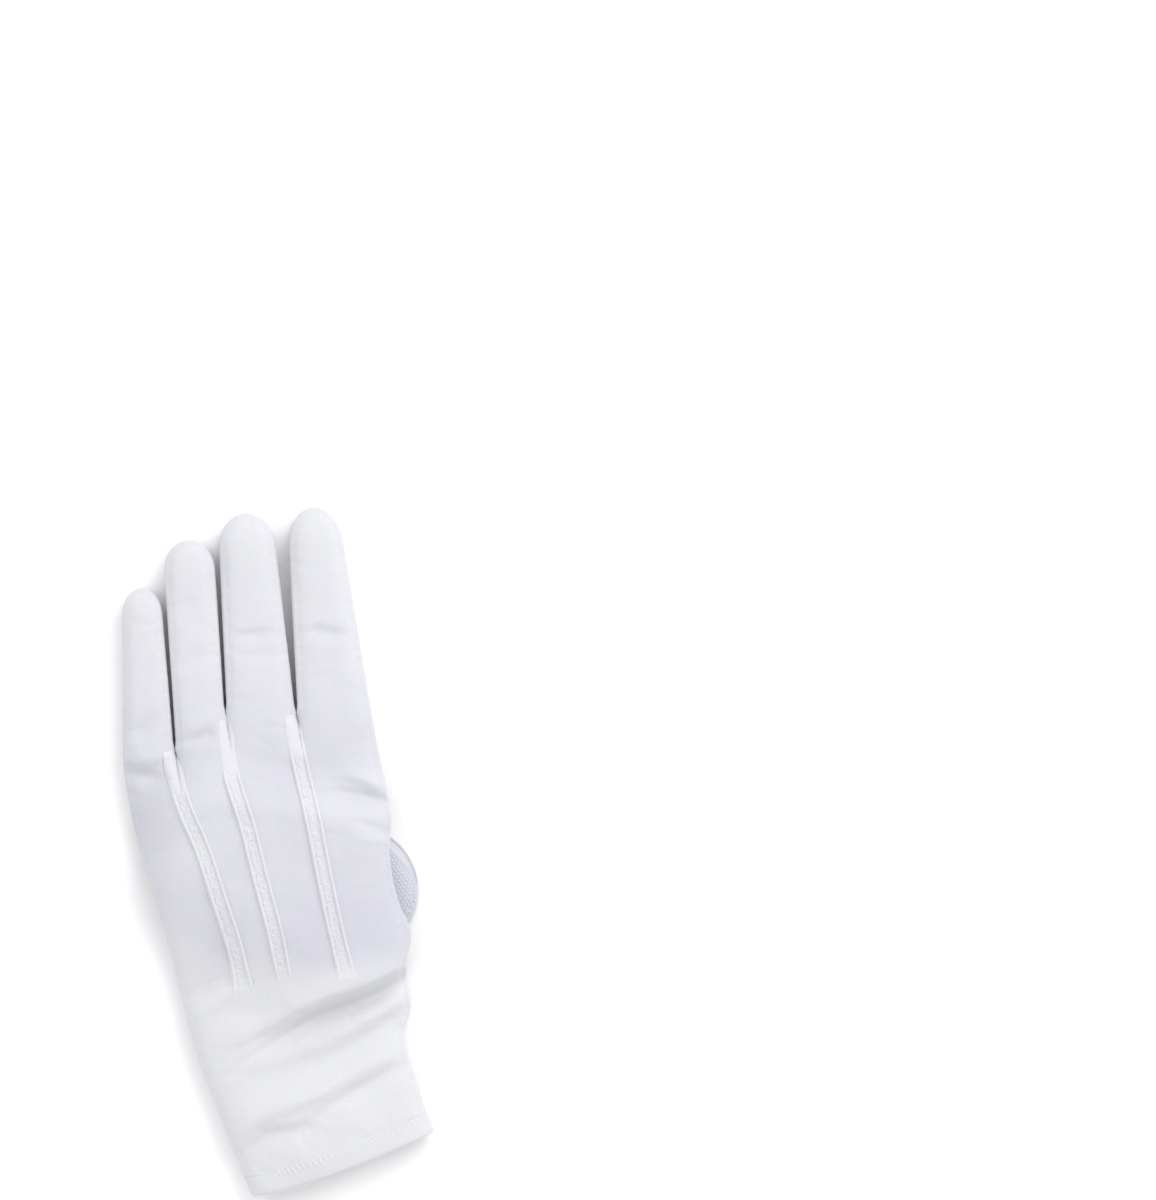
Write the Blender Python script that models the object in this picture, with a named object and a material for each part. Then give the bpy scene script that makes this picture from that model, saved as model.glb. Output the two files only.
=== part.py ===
"""A white parade glove for the left hand, lying palm down with its thumb folded under the palm.

Metres, +Z up. +Y runs from the cuff to the fingertips, +X to the index finger's side, and the
glove lies on z = 0. Each cloth piece is a thin wall between an outer and an inner skin.
"""

import math

import bpy
import numpy as np
from mathutils import Vector
from mathutils.bvhtree import BVHTree

# Main sizes of the glove, lying flat
PALM_WIDTH = 0.092
CUFF_WIDTH = 0.072
PALM_LENGTH = 0.168
HEM_LOW = 0.0062
HEM_SLANT = 0.0135
LITTLE_LENGTH = 0.0613
RING_LENGTH = 0.0694
MIDDLE_LENGTH = 0.0727
INDEX_LENGTH = 0.0754

# Cloth and seams
WALL = 0.001
SEAM_GAP = 0.0003
FINGER_GAP = 0.0009
HEM_WIDTH = 0.0075
HEM_WALL = 0.0016

# How far the hollow glove stands up from the surface that it lies on
SEAM_HEIGHT = 0.0048
FINGER_CROWN = 0.0062
BODY_CROWN = 0.0068
ROOT_BLEND = 0.020
FOURCHETTE_WIDTH = 0.0052

# Thumb, a pouch folded under the palm
THUMB_LENGTH = 0.088
THUMB_BASE_WIDTH = 0.048
THUMB_TIP_WIDTH = 0.022
THUMB_HEIGHT = 0.0085
THUMB_SEAM_HEIGHT = 0.0035
THUMB_PEEK = 0.0085
THUMB_LEAN = math.radians(30)
THUMB_CLEARANCE = 0.0004
THUMB_HOLE_LENGTH = 0.024
THUMB_HOLE_WIDTH = 0.021
THUMB_HOLE_SETBACK = 0.009
THUMB_DRAPE = 0.022

# Raised points on the back
POINT_WIDTH = 0.0064
POINT_HEIGHT = 0.0012
POINT_START = 0.0036

# Wrist slit, its overlap and its snap
SLIT_LENGTH = 0.056
FLAP_LAP = 0.0135
UNDER_LAP = 0.0085
BINDING_WIDTH = 0.0036
EYELET_WIDTH = 0.0022
SNAP_DIAMETER = 0.0135
SNAP_THICKNESS = 0.0022
SNAP_TO_EDGE = 0.0124
SNAP_TO_HEM = 0.0150
SNAP_DRAPE = 0.016
POST_DIAMETER = 0.004
SOCKET_DIAMETER = 0.0095
SOCKET_THICKNESS = 0.0018
SOCKET_FLOOR = 0.0007

# Shares of the named sizes
ROOT_ALONG = (0.935, 0.952, 1.0155, 0.990, 0.964)
THUMB_ALONG = 0.588
SLIT_SHARE = 0.5
EYELET_END = 0.25
BINDING_START = 0.12
SOLE_FADE = 0.3
LAP_EASE = 0.02
FOURCHETTE_END = 0.9
SEAM_FOLD = 0.4
FINGER_CROWN_POWER, FINGER_SOLE_POWER = 2.3, 4.0
BODY_CROWN_POWER, BODY_SOLE_POWER = 6.0, 12.0
THUMB_CROWN_POWER, THUMB_SOLE_POWER = 5.0, 8.0
FLATTENING = 1.03

# Colours, roughness
SMOOTH_CLOTH = (0.86, 0.87, 0.90), 0.75
DOTTED_CLOTH = (0.82, 0.84, 0.89), 0.85
SNAP_PLASTIC = (0.80, 0.81, 0.84), 0.45

# along: share of PALM_LENGTH. centre: share of PALM_WIDTH. spread: 0 is CUFF_WIDTH, 1 PALM_WIDTH.
BODY_COLUMNS = ("along", "centre", "spread")
BODY_STATIONS = (
    (-0.040, 0.018, 0.000),
    (0.030, -0.015, 0.000),
    (0.095, -0.044, 0.025),
    (0.170, -0.069, 0.065),
    (0.226, -0.090, 0.120),
    (0.279, -0.097, 0.230),
    (0.304, -0.087, 0.380),
    (0.381, -0.088, 0.500),
    (0.426, -0.086, 0.595),
    (0.476, -0.075, 0.785),
    (0.545, -0.096, 0.715),
    (0.595, -0.108, 0.730),
    (0.679, -0.113, 0.840),
    (0.726, -0.110, 0.990),
    (0.780, -0.116, 1.060),
    (0.881, -0.127, 1.045),
    (1.020, -0.129, 0.990),
)

# root: share of PALM_WIDTH. end: width before the tip as a share of the root's. cap: length of the
# rounded tip over half that width. crown: share of FINGER_CROWN.
FINGER_COLUMNS = ("name", "length", "root", "end", "lean_deg", "cap", "crown")
FINGERS = (
    ("little", LITTLE_LENGTH, 0.212, 0.780, 6.1, 1.32, 0.88),
    ("ring", RING_LENGTH, 0.219, 0.970, 4.7, 1.16, 1.00),
    ("middle", MIDDLE_LENGTH, 0.277, 0.850, 3.8, 1.20, 1.04),
    ("index", INDEX_LENGTH, 0.292, 0.761, 2.3, 1.40, 1.04),
)

# Ends across and along as shares of PALM_WIDTH and PALM_LENGTH, half-width as a share of PALM_WIDTH,
# height as a share of BODY_CROWN, and below 0 for a dent.
FOLD_COLUMNS = ("across_1", "along_1", "across_2", "along_2", "half_width", "height")
FOLDS = (
    (0.36, 0.445, -0.06, 0.400, 0.060, 0.26),
    (-0.06, 0.400, -0.40, 0.325, 0.060, 0.20),
    (0.37, 0.385, 0.05, 0.358, 0.045, -0.42),
    (0.05, 0.358, -0.30, 0.275, 0.050, -0.26),
    (0.24, 0.290, 0.02, 0.222, 0.040, -0.16),
    (0.02, 0.222, -0.24, 0.203, 0.040, -0.12),
    (0.26, 0.205, -0.08, 0.105, 0.030, -0.18),
    (-0.14, 0.075, -0.34, 0.035, 0.050, -0.20),
    (-0.12, 0.125, -0.30, 0.100, 0.035, 0.12),
    (-0.36, 0.420, -0.50, 0.350, 0.030, 0.14),
    (0.21, 0.825, 0.38, 0.785, 0.035, -0.34),
    (0.31, 0.765, 0.38, 0.732, 0.028, 0.20),
    (-0.62, 0.925, -0.49, 0.902, 0.030, -0.30),
    (-0.54, 1.007, -0.54, 1.000, 0.045, -0.30),
    (-0.39, 0.969, -0.25, 0.990, 0.030, -0.16),
    (-0.35, 1.123, -0.25, 1.145, 0.028, -0.18),
    (-0.12, 1.174, 0.03, 1.170, 0.022, -0.18),
    (0.21, 1.156, 0.32, 1.143, 0.025, -0.20),
)

# crotch: which gap between fingers it starts at. along: share of PALM_LENGTH where it ends.
# middles: x of its middle at even steps from the crotch to its end, in shares of PALM_WIDTH.
POINT_COLUMNS = ("name", "crotch", "along", "middles")
POINTS = (
    ("point_little", 1, 0.393, (-0.447, -0.417, -0.365, -0.330, -0.297, -0.289)),
    ("point_middle", 2, 0.402, (-0.204, -0.212, -0.177, -0.155, -0.130, -0.120)),
    ("point_index", 3, 0.402, (0.051, 0.066, 0.085, 0.095, 0.108, 0.126)),
)

# Density of the facets
FINGER_DIVISIONS = 6
SHAFT_ROWS = 6
CAP_ROWS = 4
BODY_ROWS = 16
EYELET_ROWS = 1
SLIT_ROWS = 9
HEM_ROWS = 2
POINT_STATIONS = 17
ROUND_SIDES = 20

BODY_DIVISIONS = FINGER_DIVISIONS * len(FINGERS)
HEM_PROUD = (HEM_WALL - WALL) / 2
LAP_RISE = HEM_WALL + SEAM_GAP
THUMB_LIFT = THUMB_HEIGHT + THUMB_CLEARANCE
SNAP_LIFT = SNAP_THICKNESS + SEAM_GAP - HEM_PROUD


def column(table, names, wanted):
    return np.array([row[names.index(wanted)] for row in table], float)


def smoothstep(t):
    t = np.clip(t, 0.0, 1.0)
    return t * t * (3 - 2 * t)


def through(x, xs, ys):
    """A smooth curve through the points (xs, ys), read at x."""
    slopes = np.gradient(ys, xs)
    x = np.clip(x, xs[0], xs[-1])
    i = np.clip(np.searchsorted(xs, x, side="right") - 1, 0, len(xs) - 2)
    span = xs[i + 1] - xs[i]
    t = (x - xs[i]) / span
    start = (1 + 2 * t) * (1 - t) ** 2 * ys[i] + t * (1 - t) ** 2 * span * slopes[i]
    end = t * t * (3 - 2 * t) * ys[i + 1] - t * t * (1 - t) * span * slopes[i + 1]
    return start + end


def dome(t, power):
    """1 in the middle of a section and 0 at its sides, where t is -1 and 1."""
    return np.sqrt(np.clip(1 - np.abs(t) ** power, 0, 1))


def flat_dome(t, power):
    """A dome with a truly flat middle, for cloth that rests on a surface."""
    return np.minimum(1, FLATTENING * dome(t, power))


# The plan: where each station of the glove lies on the surface


def body_edges(y):
    """x of the little finger's side and of the index finger's side at y."""
    along = column(BODY_STATIONS, BODY_COLUMNS, "along") * PALM_LENGTH
    centre = through(y, along, column(BODY_STATIONS, BODY_COLUMNS, "centre")) * PALM_WIDTH
    spread = through(y, along, column(BODY_STATIONS, BODY_COLUMNS, "spread"))
    half = (CUFF_WIDTH + spread * (PALM_WIDTH - CUFF_WIDTH)) / 2
    return centre - half, centre + half


def across(share, y):
    """x at a share of the body's width."""
    left, right = body_edges(y)
    return left + share * (right - left)


def hem_edge(share):
    return HEM_SLANT * np.clip(share, 0, 1) ** 1.5 - HEM_LOW


def crotch_shares():
    return np.concatenate([[0], np.cumsum(column(FINGERS, FINGER_COLUMNS, "root"))])


def root_line(share):
    return np.interp(share, crotch_shares(), np.array(ROOT_ALONG) * PALM_LENGTH)


def cut_column(shares):
    """The body column that the wrist slit follows."""
    return int(np.argmin(np.abs(shares - SLIT_SHARE)))


def finger_sections(divisions):
    """Places across a finger from -1 to 1, closer together at its sides."""
    return -np.cos(np.linspace(0, math.pi, divisions + 1))


def body_shares(divisions):
    """Shares across the body that run on from the fingers' own sections."""
    edges = crotch_shares()
    cuts = (finger_sections(divisions) + 1) / 2
    inside = [a + cuts[:-1] * (b - a) for a, b in zip(edges[:-1], edges[1:])]
    return np.concatenate(inside + [[1.0]])


def thumb_axis():
    """Centres of the thumb's base and tip circles, in plan."""
    y = THUMB_ALONG * PALM_LENGTH
    base = np.array([body_edges(y)[1] + THUMB_PEEK - THUMB_BASE_WIDTH / 2, y])
    reach = THUMB_LENGTH - (THUMB_BASE_WIDTH + THUMB_TIP_WIDTH) / 2
    direction = np.array([-math.cos(THUMB_LEAN), math.sin(THUMB_LEAN)])
    return base, base + reach * direction, direction


def snap_centre():
    """The snap, set in from the flap's edge and from the hem."""
    y = hem_edge(SLIT_SHARE) + SNAP_TO_HEM
    return np.array([flap_edge(y) - SNAP_TO_EDGE, y])


def slit_depth(y):
    """0 at the slit's inner end and 1 at the hem's edge."""
    end = hem_edge(SLIT_SHARE)
    return np.clip((end + SLIT_LENGTH - y) / SLIT_LENGTH, 0, 1)


def eyelet_half(y):
    """Half the small opening that the slit keeps next to its inner end."""
    return EYELET_WIDTH / 2 * np.sin(math.pi * np.clip(slit_depth(y) / EYELET_END, 0, 1))


def flap_edge(y):
    lap = smoothstep((slit_depth(y) - EYELET_END) / (1 - EYELET_END))
    return across(SLIT_SHARE, y) + FLAP_LAP * lap - eyelet_half(y)


def under_edge(y):
    lap = smoothstep((slit_depth(y) - EYELET_END) / (1 - EYELET_END))
    return across(SLIT_SHARE, y) - UNDER_LAP * lap + eyelet_half(y)


# The heights: what lifts, folds and rounds the cloth


def lift(x, y):
    """How far the thumb and the snap's cap hold the glove up from the surface."""
    base, tip, direction = thumb_axis()
    reach = np.linalg.norm(tip - base)
    share = np.clip(((x - base[0]) * direction[0] + (y - base[1]) * direction[1]) / reach, 0, 1)
    off = np.hypot(x - base[0] - share * reach * direction[0], y - base[1] - share * reach * direction[1])
    radius = (THUMB_BASE_WIDTH + share * (THUMB_TIP_WIDTH - THUMB_BASE_WIDTH)) / 2
    over_thumb = 1 - smoothstep((off - radius) / THUMB_DRAPE)
    snap = snap_centre()
    from_snap = np.hypot(x - snap[0], y - snap[1]) - SNAP_DIAMETER / 2 - 2 * WALL
    over_snap = 1 - smoothstep(from_snap / SNAP_DRAPE)
    return THUMB_LIFT * over_thumb + SNAP_LIFT * over_snap


def folds(x, y):
    """Ridges and dents of the back, each along a straight line."""
    total = np.zeros(np.shape(x))
    for row in FOLDS:
        fold = dict(zip(FOLD_COLUMNS, row))
        start = np.array([fold["across_1"] * PALM_WIDTH, fold["along_1"] * PALM_LENGTH])
        run = np.array([fold["across_2"] * PALM_WIDTH, fold["along_2"] * PALM_LENGTH]) - start
        share = np.clip(((x - start[0]) * run[0] + (y - start[1]) * run[1]) / (run @ run), 0, 1)
        off = np.hypot(x - start[0] - share * run[0], y - start[1] - share * run[1])
        near = np.exp(-((off / (fold["half_width"] * PALM_WIDTH)) ** 2))
        total = total + fold["height"] * BODY_CROWN * near
    return total


def seam_level(x, y):
    return SEAM_HEIGHT + lift(x, y) + SEAM_FOLD * folds(x, y)


def back_height(x, y, edge, crown, shape):
    """z of the back's outer skin. edge: how far it starts above the seam. shape: 0 at a side, 1 inside."""
    rise = crown + (1 - SEAM_FOLD) * folds(x, y) - edge
    return seam_level(x, y) + SEAM_GAP / 2 + edge + rise * shape


def palm_height(x, y, edge, shape, rise=0.0):
    """z of the palm's outer skin. rise: how far the slit's inner side lies above the sole."""
    start = seam_level(x, y) - SEAM_GAP / 2 - edge
    above_slit = (y - hem_edge(SLIT_SHARE)) / SLIT_LENGTH - 1
    sole = lift(x, y) + HEM_PROUD * (1 - smoothstep(above_slit / SOLE_FADE)) + rise
    return start + (sole - start) * shape


# The grids: a plan mesh with what each vertex needs for its heights


class Grid:
    """Vertices in plan and the faces between them, seen from above."""

    def __init__(self):
        self.plan, self.facts, self.faces = [], [], []
        self.outline, self.tips, self.hem_row, self.slit_sides = [], [], [], []

    def vertex(self, x, y, edge, crown, top, sole, rise=0.0):
        self.plan.append((x, y))
        self.facts.append((edge, crown, top, sole, rise))
        return len(self.plan) - 1

    def strip(self, row, next_row):
        """Faces between two rows of vertices, the first one further from the fingertips."""
        for a, b, c, d in zip(row[:-1], row[1:], next_row[1:], next_row[:-1]):
            corners = tuple(dict.fromkeys((a, b, c, d)))
            if len(corners) > 2:
                self.faces.append(corners)

    def heights(self, back):
        x, y = np.array(self.plan).T
        edge, crown, top, sole, rise = np.array(self.facts).T
        z = back_height(x, y, edge, crown, top) if back else palm_height(x, y, edge, sole, rise)
        return np.column_stack([x, y, z])

    def outward(self):
        """Level outward direction at each outline vertex."""
        plan = np.array(self.plan)[self.outline]
        run = np.zeros_like(plan)
        run[1:-1] = plan[2:] - plan[:-2]
        run[0], run[-1] = plan[1] - plan[0], plan[-1] - plan[-2]
        run /= np.linalg.norm(run, axis=1)[:, None]
        return np.column_stack([-run[:, 1], run[:, 0], np.zeros(len(run))])


def fourchette_edge(finger, side, share):
    """Half the fourchette's height at a share of the finger's length, on its side -1 or 1."""
    outer = (finger == 0 and side < 0) or (finger == len(FINGERS) - 1 and side > 0)
    fade = 1 - 0.85 * smoothstep((share - 0.45) / (FOURCHETTE_END - 0.45))
    return 0.0 if outer or share > FOURCHETTE_END + 1e-6 else FOURCHETTE_WIDTH / 2 * fade


def finger_rows(number):
    """Rows of one finger from its root to its tip: plan points, share of the length and narrowing."""
    finger = dict(zip(FINGER_COLUMNS, FINGERS[number]))
    shares = crotch_shares()[number : number + 2]
    root = np.array([[across(s, root_line(s)), root_line(s)] for s in shares])
    lean = math.radians(finger["lean_deg"])
    ahead, aside = np.array([math.sin(lean), math.cos(lean)]), np.array([math.cos(lean), -math.sin(lean)])
    half = finger["end"] * finger["root"] * PALM_WIDTH / 2
    cap = finger["cap"] * half
    start = root.mean(0) + (finger["length"] - cap) * ahead
    gaps = np.array([number > 0, number < len(FINGERS) - 1]) * FINGER_GAP / 2
    ends = np.array([start - (half - gaps[0]) * aside, start + (half - gaps[1]) * aside])
    inset = np.array([gaps[0] * aside, -gaps[1] * aside])
    rows = []
    for step in np.linspace(0, 1, SHAFT_ROWS + 1) ** 0.9:
        sides = root + (ends - root) * step + inset * (1 - step) * min(1, step * 4 * SHAFT_ROWS)
        rows.append((sides, step * (1 - cap / finger["length"]), 1.0))
    middle = ends.mean(0)
    for angle in np.linspace(0, math.pi / 2, CAP_ROWS + 1)[1:]:
        narrow = math.cos(angle)
        sides = middle + (ends - middle) * narrow + cap * math.sin(angle) * ahead
        rows.append((sides, 1 - (1 - math.sin(angle)) * cap / finger["length"], narrow))
    return rows


def add_finger(grid, number, root_row):
    """The rows of one finger on top of its root row. Returns its left side, tip and right side."""
    crown = FINGERS[number][-1] * FINGER_CROWN
    sections = finger_sections(FINGER_DIVISIONS)
    left, right, row = [root_row[0]], [root_row[-1]], root_row
    for sides, share, narrow in finger_rows(number)[1:-1]:
        edges = [fourchette_edge(number, side, share) for side in (-1, 1)]
        made = []
        for c in sections:
            x, y = sides[0] + (sides[1] - sides[0]) * (c + 1) / 2
            edge = edges[0] + (edges[1] - edges[0]) * (c + 1) / 2
            top = narrow * dome(c, FINGER_CROWN_POWER)
            sole = narrow**0.5 * flat_dome(c, FINGER_SOLE_POWER)
            made.append(grid.vertex(x, y, edge, crown, top, sole))
        grid.strip(row, made)
        row = made
        left.append(made[0])
        right.append(made[-1])
    x, y = finger_rows(number)[-1][0][0]
    tip = grid.vertex(x, y, 0.0, crown, 0.0, 0.0)
    grid.strip(row, [tip] * len(row))
    return left, tip, right


def body_facts(share, y):
    """Edge, crown and roundings of the body, which grow out of the fingers' own over ROOT_BLEND."""
    edges = crotch_shares()
    number = int(np.clip(np.searchsorted(edges, share, side="right") - 1, 0, len(FINGERS) - 1))
    c = 2 * (share - edges[number]) / (edges[number + 1] - edges[number]) - 1
    sides = [fourchette_edge(number, side, 0.0) for side in (-1, 1)]
    edge = sides[0] + (sides[1] - sides[0]) * (c + 1) / 2
    blend = smoothstep((root_line(share) - y) / ROOT_BLEND)
    wide = 2 * share - 1
    crown = FINGERS[number][-1] * FINGER_CROWN
    own_top, own_sole = dome(c, FINGER_CROWN_POWER), flat_dome(c, FINGER_SOLE_POWER)
    body_top, body_sole = dome(wide, BODY_CROWN_POWER), flat_dome(wide, BODY_SOLE_POWER)
    return (
        edge * (1 - blend),
        crown + (BODY_CROWN - crown) * blend,
        own_top + (body_top - own_top) * blend,
        own_sole + (body_sole - own_sole) * blend,
    )


def body_steps():
    """Shares of the way from a finger's root to the hem, with rows at the slit's end and binding."""
    start = root_line(SLIT_SHARE)
    length = start - hem_edge(SLIT_SHARE) - HEM_WIDTH - SEAM_GAP
    inner_end = hem_edge(SLIT_SHARE) + SLIT_LENGTH
    marks = [0, (start - inner_end) / length, (start - inner_end + BINDING_START * SLIT_LENGTH) / length, 1]
    counts = BODY_ROWS, EYELET_ROWS, SLIT_ROWS
    pieces = [np.linspace(a, b, n + 1)[:-1] for a, b, n in zip(marks[:-1], marks[1:], counts)]
    return np.append(np.concatenate(pieces), 1.0)


def row_y(share, step):
    root = root_line(share)
    return root + (hem_edge(share) + HEM_WIDTH + SEAM_GAP - root) * step


def glove_grid(slit):
    """The plan of a whole side of the glove: body and fingers, split at the wrist if slit is true."""
    grid = Grid()
    shares = body_shares(FINGER_DIVISIONS)
    cut = cut_column(shares)
    rows = []
    for number, step in enumerate(body_steps()):
        row, twin = [], None
        for j, share in enumerate(shares):
            y = row_y(share, step)
            facts = body_facts(share, y)
            if not slit:
                row.append(grid.vertex(across(share, y), y, *facts))
                continue
            split = number > BODY_ROWS
            for side in (-1, 1) if split and j == cut else (-1 if j < cut else 1,):
                x, rise = slit_shift(share, shares[cut], y, side)
                made = grid.vertex(x, y, *facts, rise)
                if split and j == cut:
                    grid.slit_sides.append(made)
                if side > 0 and split and j == cut:
                    twin = made
                else:
                    row.append(made)
        rows.append((row, twin))
    for (row, twin), (below, below_twin) in zip(rows[:-1], rows[1:]):
        if below_twin is None:
            grid.strip(below, row)
            continue
        grid.strip(below[: cut + 1], row[: cut + 1])
        grid.strip([below_twin] + below[cut + 1 :], [row[cut] if twin is None else twin] + row[cut + 1 :])
    root = rows[0][0]
    grid.outline = [row[0] for row, _ in rows[:0:-1]]
    for number in range(len(FINGERS)):
        start = number * FINGER_DIVISIONS
        left, tip, right = add_finger(grid, number, root[start : start + FINGER_DIVISIONS + 1])
        grid.tips.append(len(grid.outline) + len(left))
        grid.outline += left + [tip] + right[:0:-1]
    grid.outline += [row[-1] for row, _ in rows]
    grid.hem_row = rows[-1][0] + [rows[-1][1]] * (rows[-1][1] is not None)
    return grid


def slit_shift(share, cut, y, side):
    """x and rise of a palm vertex: both sides of the slit are drawn towards their own lapped edge."""
    left, right = body_edges(y)
    depth = slit_depth(y)
    bound = (BINDING_WIDTH + SEAM_GAP) * smoothstep(depth / BINDING_START)
    line, flap = across(cut, y), flap_edge(y) - across(SLIT_SHARE, y)
    if side < 0:
        return left + share / cut * (line + flap - bound - left), 0.0
    settled = line + under_edge(y) - across(SLIT_SHARE, y)
    x = settled + (share - cut) / (1 - cut) * (right - settled)
    past = (x - line - flap - LAP_EASE * PALM_WIDTH) / (right - line - flap) * 1.6
    return x, LAP_RISE * smoothstep(depth / EYELET_END) * (1 - smoothstep(past))


# Solids from the grids


def vertex_normals(points, faces):
    normals = np.zeros_like(points)
    for face in faces:
        sides = points[list(face[1:])] - points[face[0]]
        normal = sum(np.cross(a, b) for a, b in zip(sides[:-1], sides[1:]))
        normals[list(face)] += normal
    return normals / np.linalg.norm(normals, axis=1)[:, None]


def make_object(name, points, faces, finish, smooth=True):
    mesh = bpy.data.meshes.new(name)
    mesh.from_pydata([tuple(p) for p in points], [], [tuple(int(i) for i in f) for f in faces])
    mesh.update()
    if smooth:
        mesh.shade_smooth()
        mesh.set_sharp_from_angle(angle=math.radians(50))
    obj = bpy.data.objects.new(name, mesh)
    bpy.context.scene.collection.objects.link(obj)
    obj.data.materials.append(material(finish))
    return obj


def material(finish):
    """The one material of a colour and roughness."""
    colour, roughness = finish
    name = f"cloth_{round(colour[0] * 100)}_{round(roughness * 100)}"
    made = bpy.data.materials.get(name)
    if made is None:
        made = bpy.data.materials.new(name)
        made.use_nodes = True
        shader = made.node_tree.nodes["Principled BSDF"]
        shader.inputs["Base Color"].default_value = (*colour, 1)
        shader.inputs["Roughness"].default_value = roughness
        shader.inputs["Metallic"].default_value = 0.0
    return made


def solid_between(name, faces, outer, inner, finish):
    """One closed wall: the outer skin, the inner skin turned over and the rim round both."""
    count = len(outer)
    directed = {}
    for face in faces:
        for a, b in zip(face, face[1:] + face[:1]):
            directed[(a, b)] = True
    rim = [(b, a, a + count, b + count) for a, b in directed if (b, a) not in directed]
    turned = [tuple(i + count for i in reversed(face)) for face in faces]
    return make_object(name, np.vstack([outer, inner]), list(faces) + turned + rim, finish)


def side_panel(name, grid, back, finish):
    """The back or the palm, with its walls standing level at the seams."""
    outer = grid.heights(back)
    faces = grid.faces if back else [tuple(reversed(face)) for face in grid.faces]
    normals = vertex_normals(outer, faces)
    normals[grid.outline] = grid.outward()
    normals[grid.hem_row, 1] = 0
    normals[grid.slit_sides, 0] = 0
    normals /= np.linalg.norm(normals, axis=1)[:, None]
    return solid_between(name, faces, outer, outer - WALL * normals, finish)


def fourchettes(grid):
    """The strips between the fingers, each up one finger's side, round the crotch and up the next."""
    plan = np.array(grid.plan)[grid.outline]
    outward = grid.outward()[:, :2]
    edges = np.array(grid.facts)[grid.outline][:, 0]
    names = ("fourchette_little_ring", "fourchette_ring_middle", "fourchette_middle_index")
    for name, tip, next_tip in zip(names, grid.tips[:-1], grid.tips[1:]):
        run = np.arange(tip, next_tip)[edges[tip:next_tip] > 0]
        high = seam_level(*plan[run].T) + edges[run] - SEAM_GAP / 2
        low = seam_level(*plan[run].T) - edges[run] + SEAM_GAP / 2
        inside = plan[run] - WALL * outward[run]
        outer = np.vstack([np.column_stack([plan[run], low]), np.column_stack([plan[run], high])])
        inner = np.vstack([np.column_stack([inside, low]), np.column_stack([inside, high])])
        n = len(run)
        faces = [(i + 1, i, i + n, i + n + 1) for i in range(n - 1)]
        solid_between(name, faces, outer, inner, SMOOTH_CLOTH)


def cuff_hem():
    """The doubled band round the cuff's edge, from the flap's edge round to the other side of the slit."""
    shares = body_shares(FINGER_DIVISIONS)
    cut = cut_column(shares)
    ring = [(s, "flap") for s in shares[cut::-1]]
    ring += [(s, "back") for s in shares[1:-1]]
    ring += [(s, "under") for s in shares[: cut - 1 : -1]]
    rows = []
    for step in np.linspace(1, 0, HEM_ROWS + 1):
        row = []
        for share, kind in ring:
            y = hem_edge(share) + HEM_WIDTH * step
            row.append(hem_point(share, kind, y, shares[cut]))
        rows.append(row)
    points = np.array(rows)
    count = points.shape[1]
    normals = np.zeros_like(points)
    for i in range(len(rows)):
        run = np.gradient(points[i], axis=0)
        normals[i] = np.cross(run, [0, 1, 0])
        normals[i] /= np.linalg.norm(normals[i], axis=1)[:, None]
    faces = [
        (i * count + j, (i + 1) * count + j, (i + 1) * count + j + 1, i * count + j + 1)
        for i in range(len(rows) - 1)
        for j in range(count - 1)
    ]
    flat, away = points.reshape(-1, 3), normals.reshape(-1, 3)
    solid_between(
        "cuff_hem", faces, flat + HEM_PROUD * away, flat - (WALL + HEM_PROUD) * away, SMOOTH_CLOTH
    )


def hem_point(share, kind, y, cut):
    edge, crown, top, sole = body_facts(share, y)
    if share in (0.0, 1.0):
        x = across(share, y)
        return x, y, seam_level(x, y)
    if kind == "back":
        x = across(share, y)
        return x, y, float(back_height(x, y, edge, crown, top))
    left, right = body_edges(y)
    if kind == "flap":
        end = across(cut, y) - across(SLIT_SHARE, y) + flap_edge(y)
        x, rise = left + share / cut * (end - left), 0.0
    else:
        x, rise = slit_shift(share, cut, y, 1)
    return x, y, float(palm_height(x, y, edge, sole, rise))


def slit_binding():
    """The doubled strip along the flap's edge, from the slit's inner end to the hem."""
    cut = body_shares(FINGER_DIVISIONS)[cut_column(body_shares(FINGER_DIVISIONS))]
    points = []
    for step in body_steps()[BODY_ROWS + EYELET_ROWS :]:
        y = row_y(cut, step)
        edge = across(cut, y) - across(SLIT_SHARE, y) + flap_edge(y)
        for x in (edge - BINDING_WIDTH, edge):
            points.append((x, y, float(palm_height(x, y, 0.0, 1.0))))
    points = np.array(points)
    faces = [(2 * i, 2 * i + 1, 2 * i + 3, 2 * i + 2) for i in range(SLIT_ROWS)]
    up = np.array([0, 0, 1])
    solid_between(
        "slit_binding", faces, points - HEM_PROUD * up, points + (WALL + HEM_PROUD) * up, SMOOTH_CLOTH
    )


def seated(seat, x, y, reach):
    """The highest point of the seat's surface within a short reach along Y."""
    drops = [Vector((x, y + reach * t, 1.0)) for t in (-1, -0.5, 0, 0.5, 1)]
    hits = [seat.ray_cast(drop, Vector((0, 0, -1)))[0] for drop in drops]
    return max(hit.z for hit in hits if hit)


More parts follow.
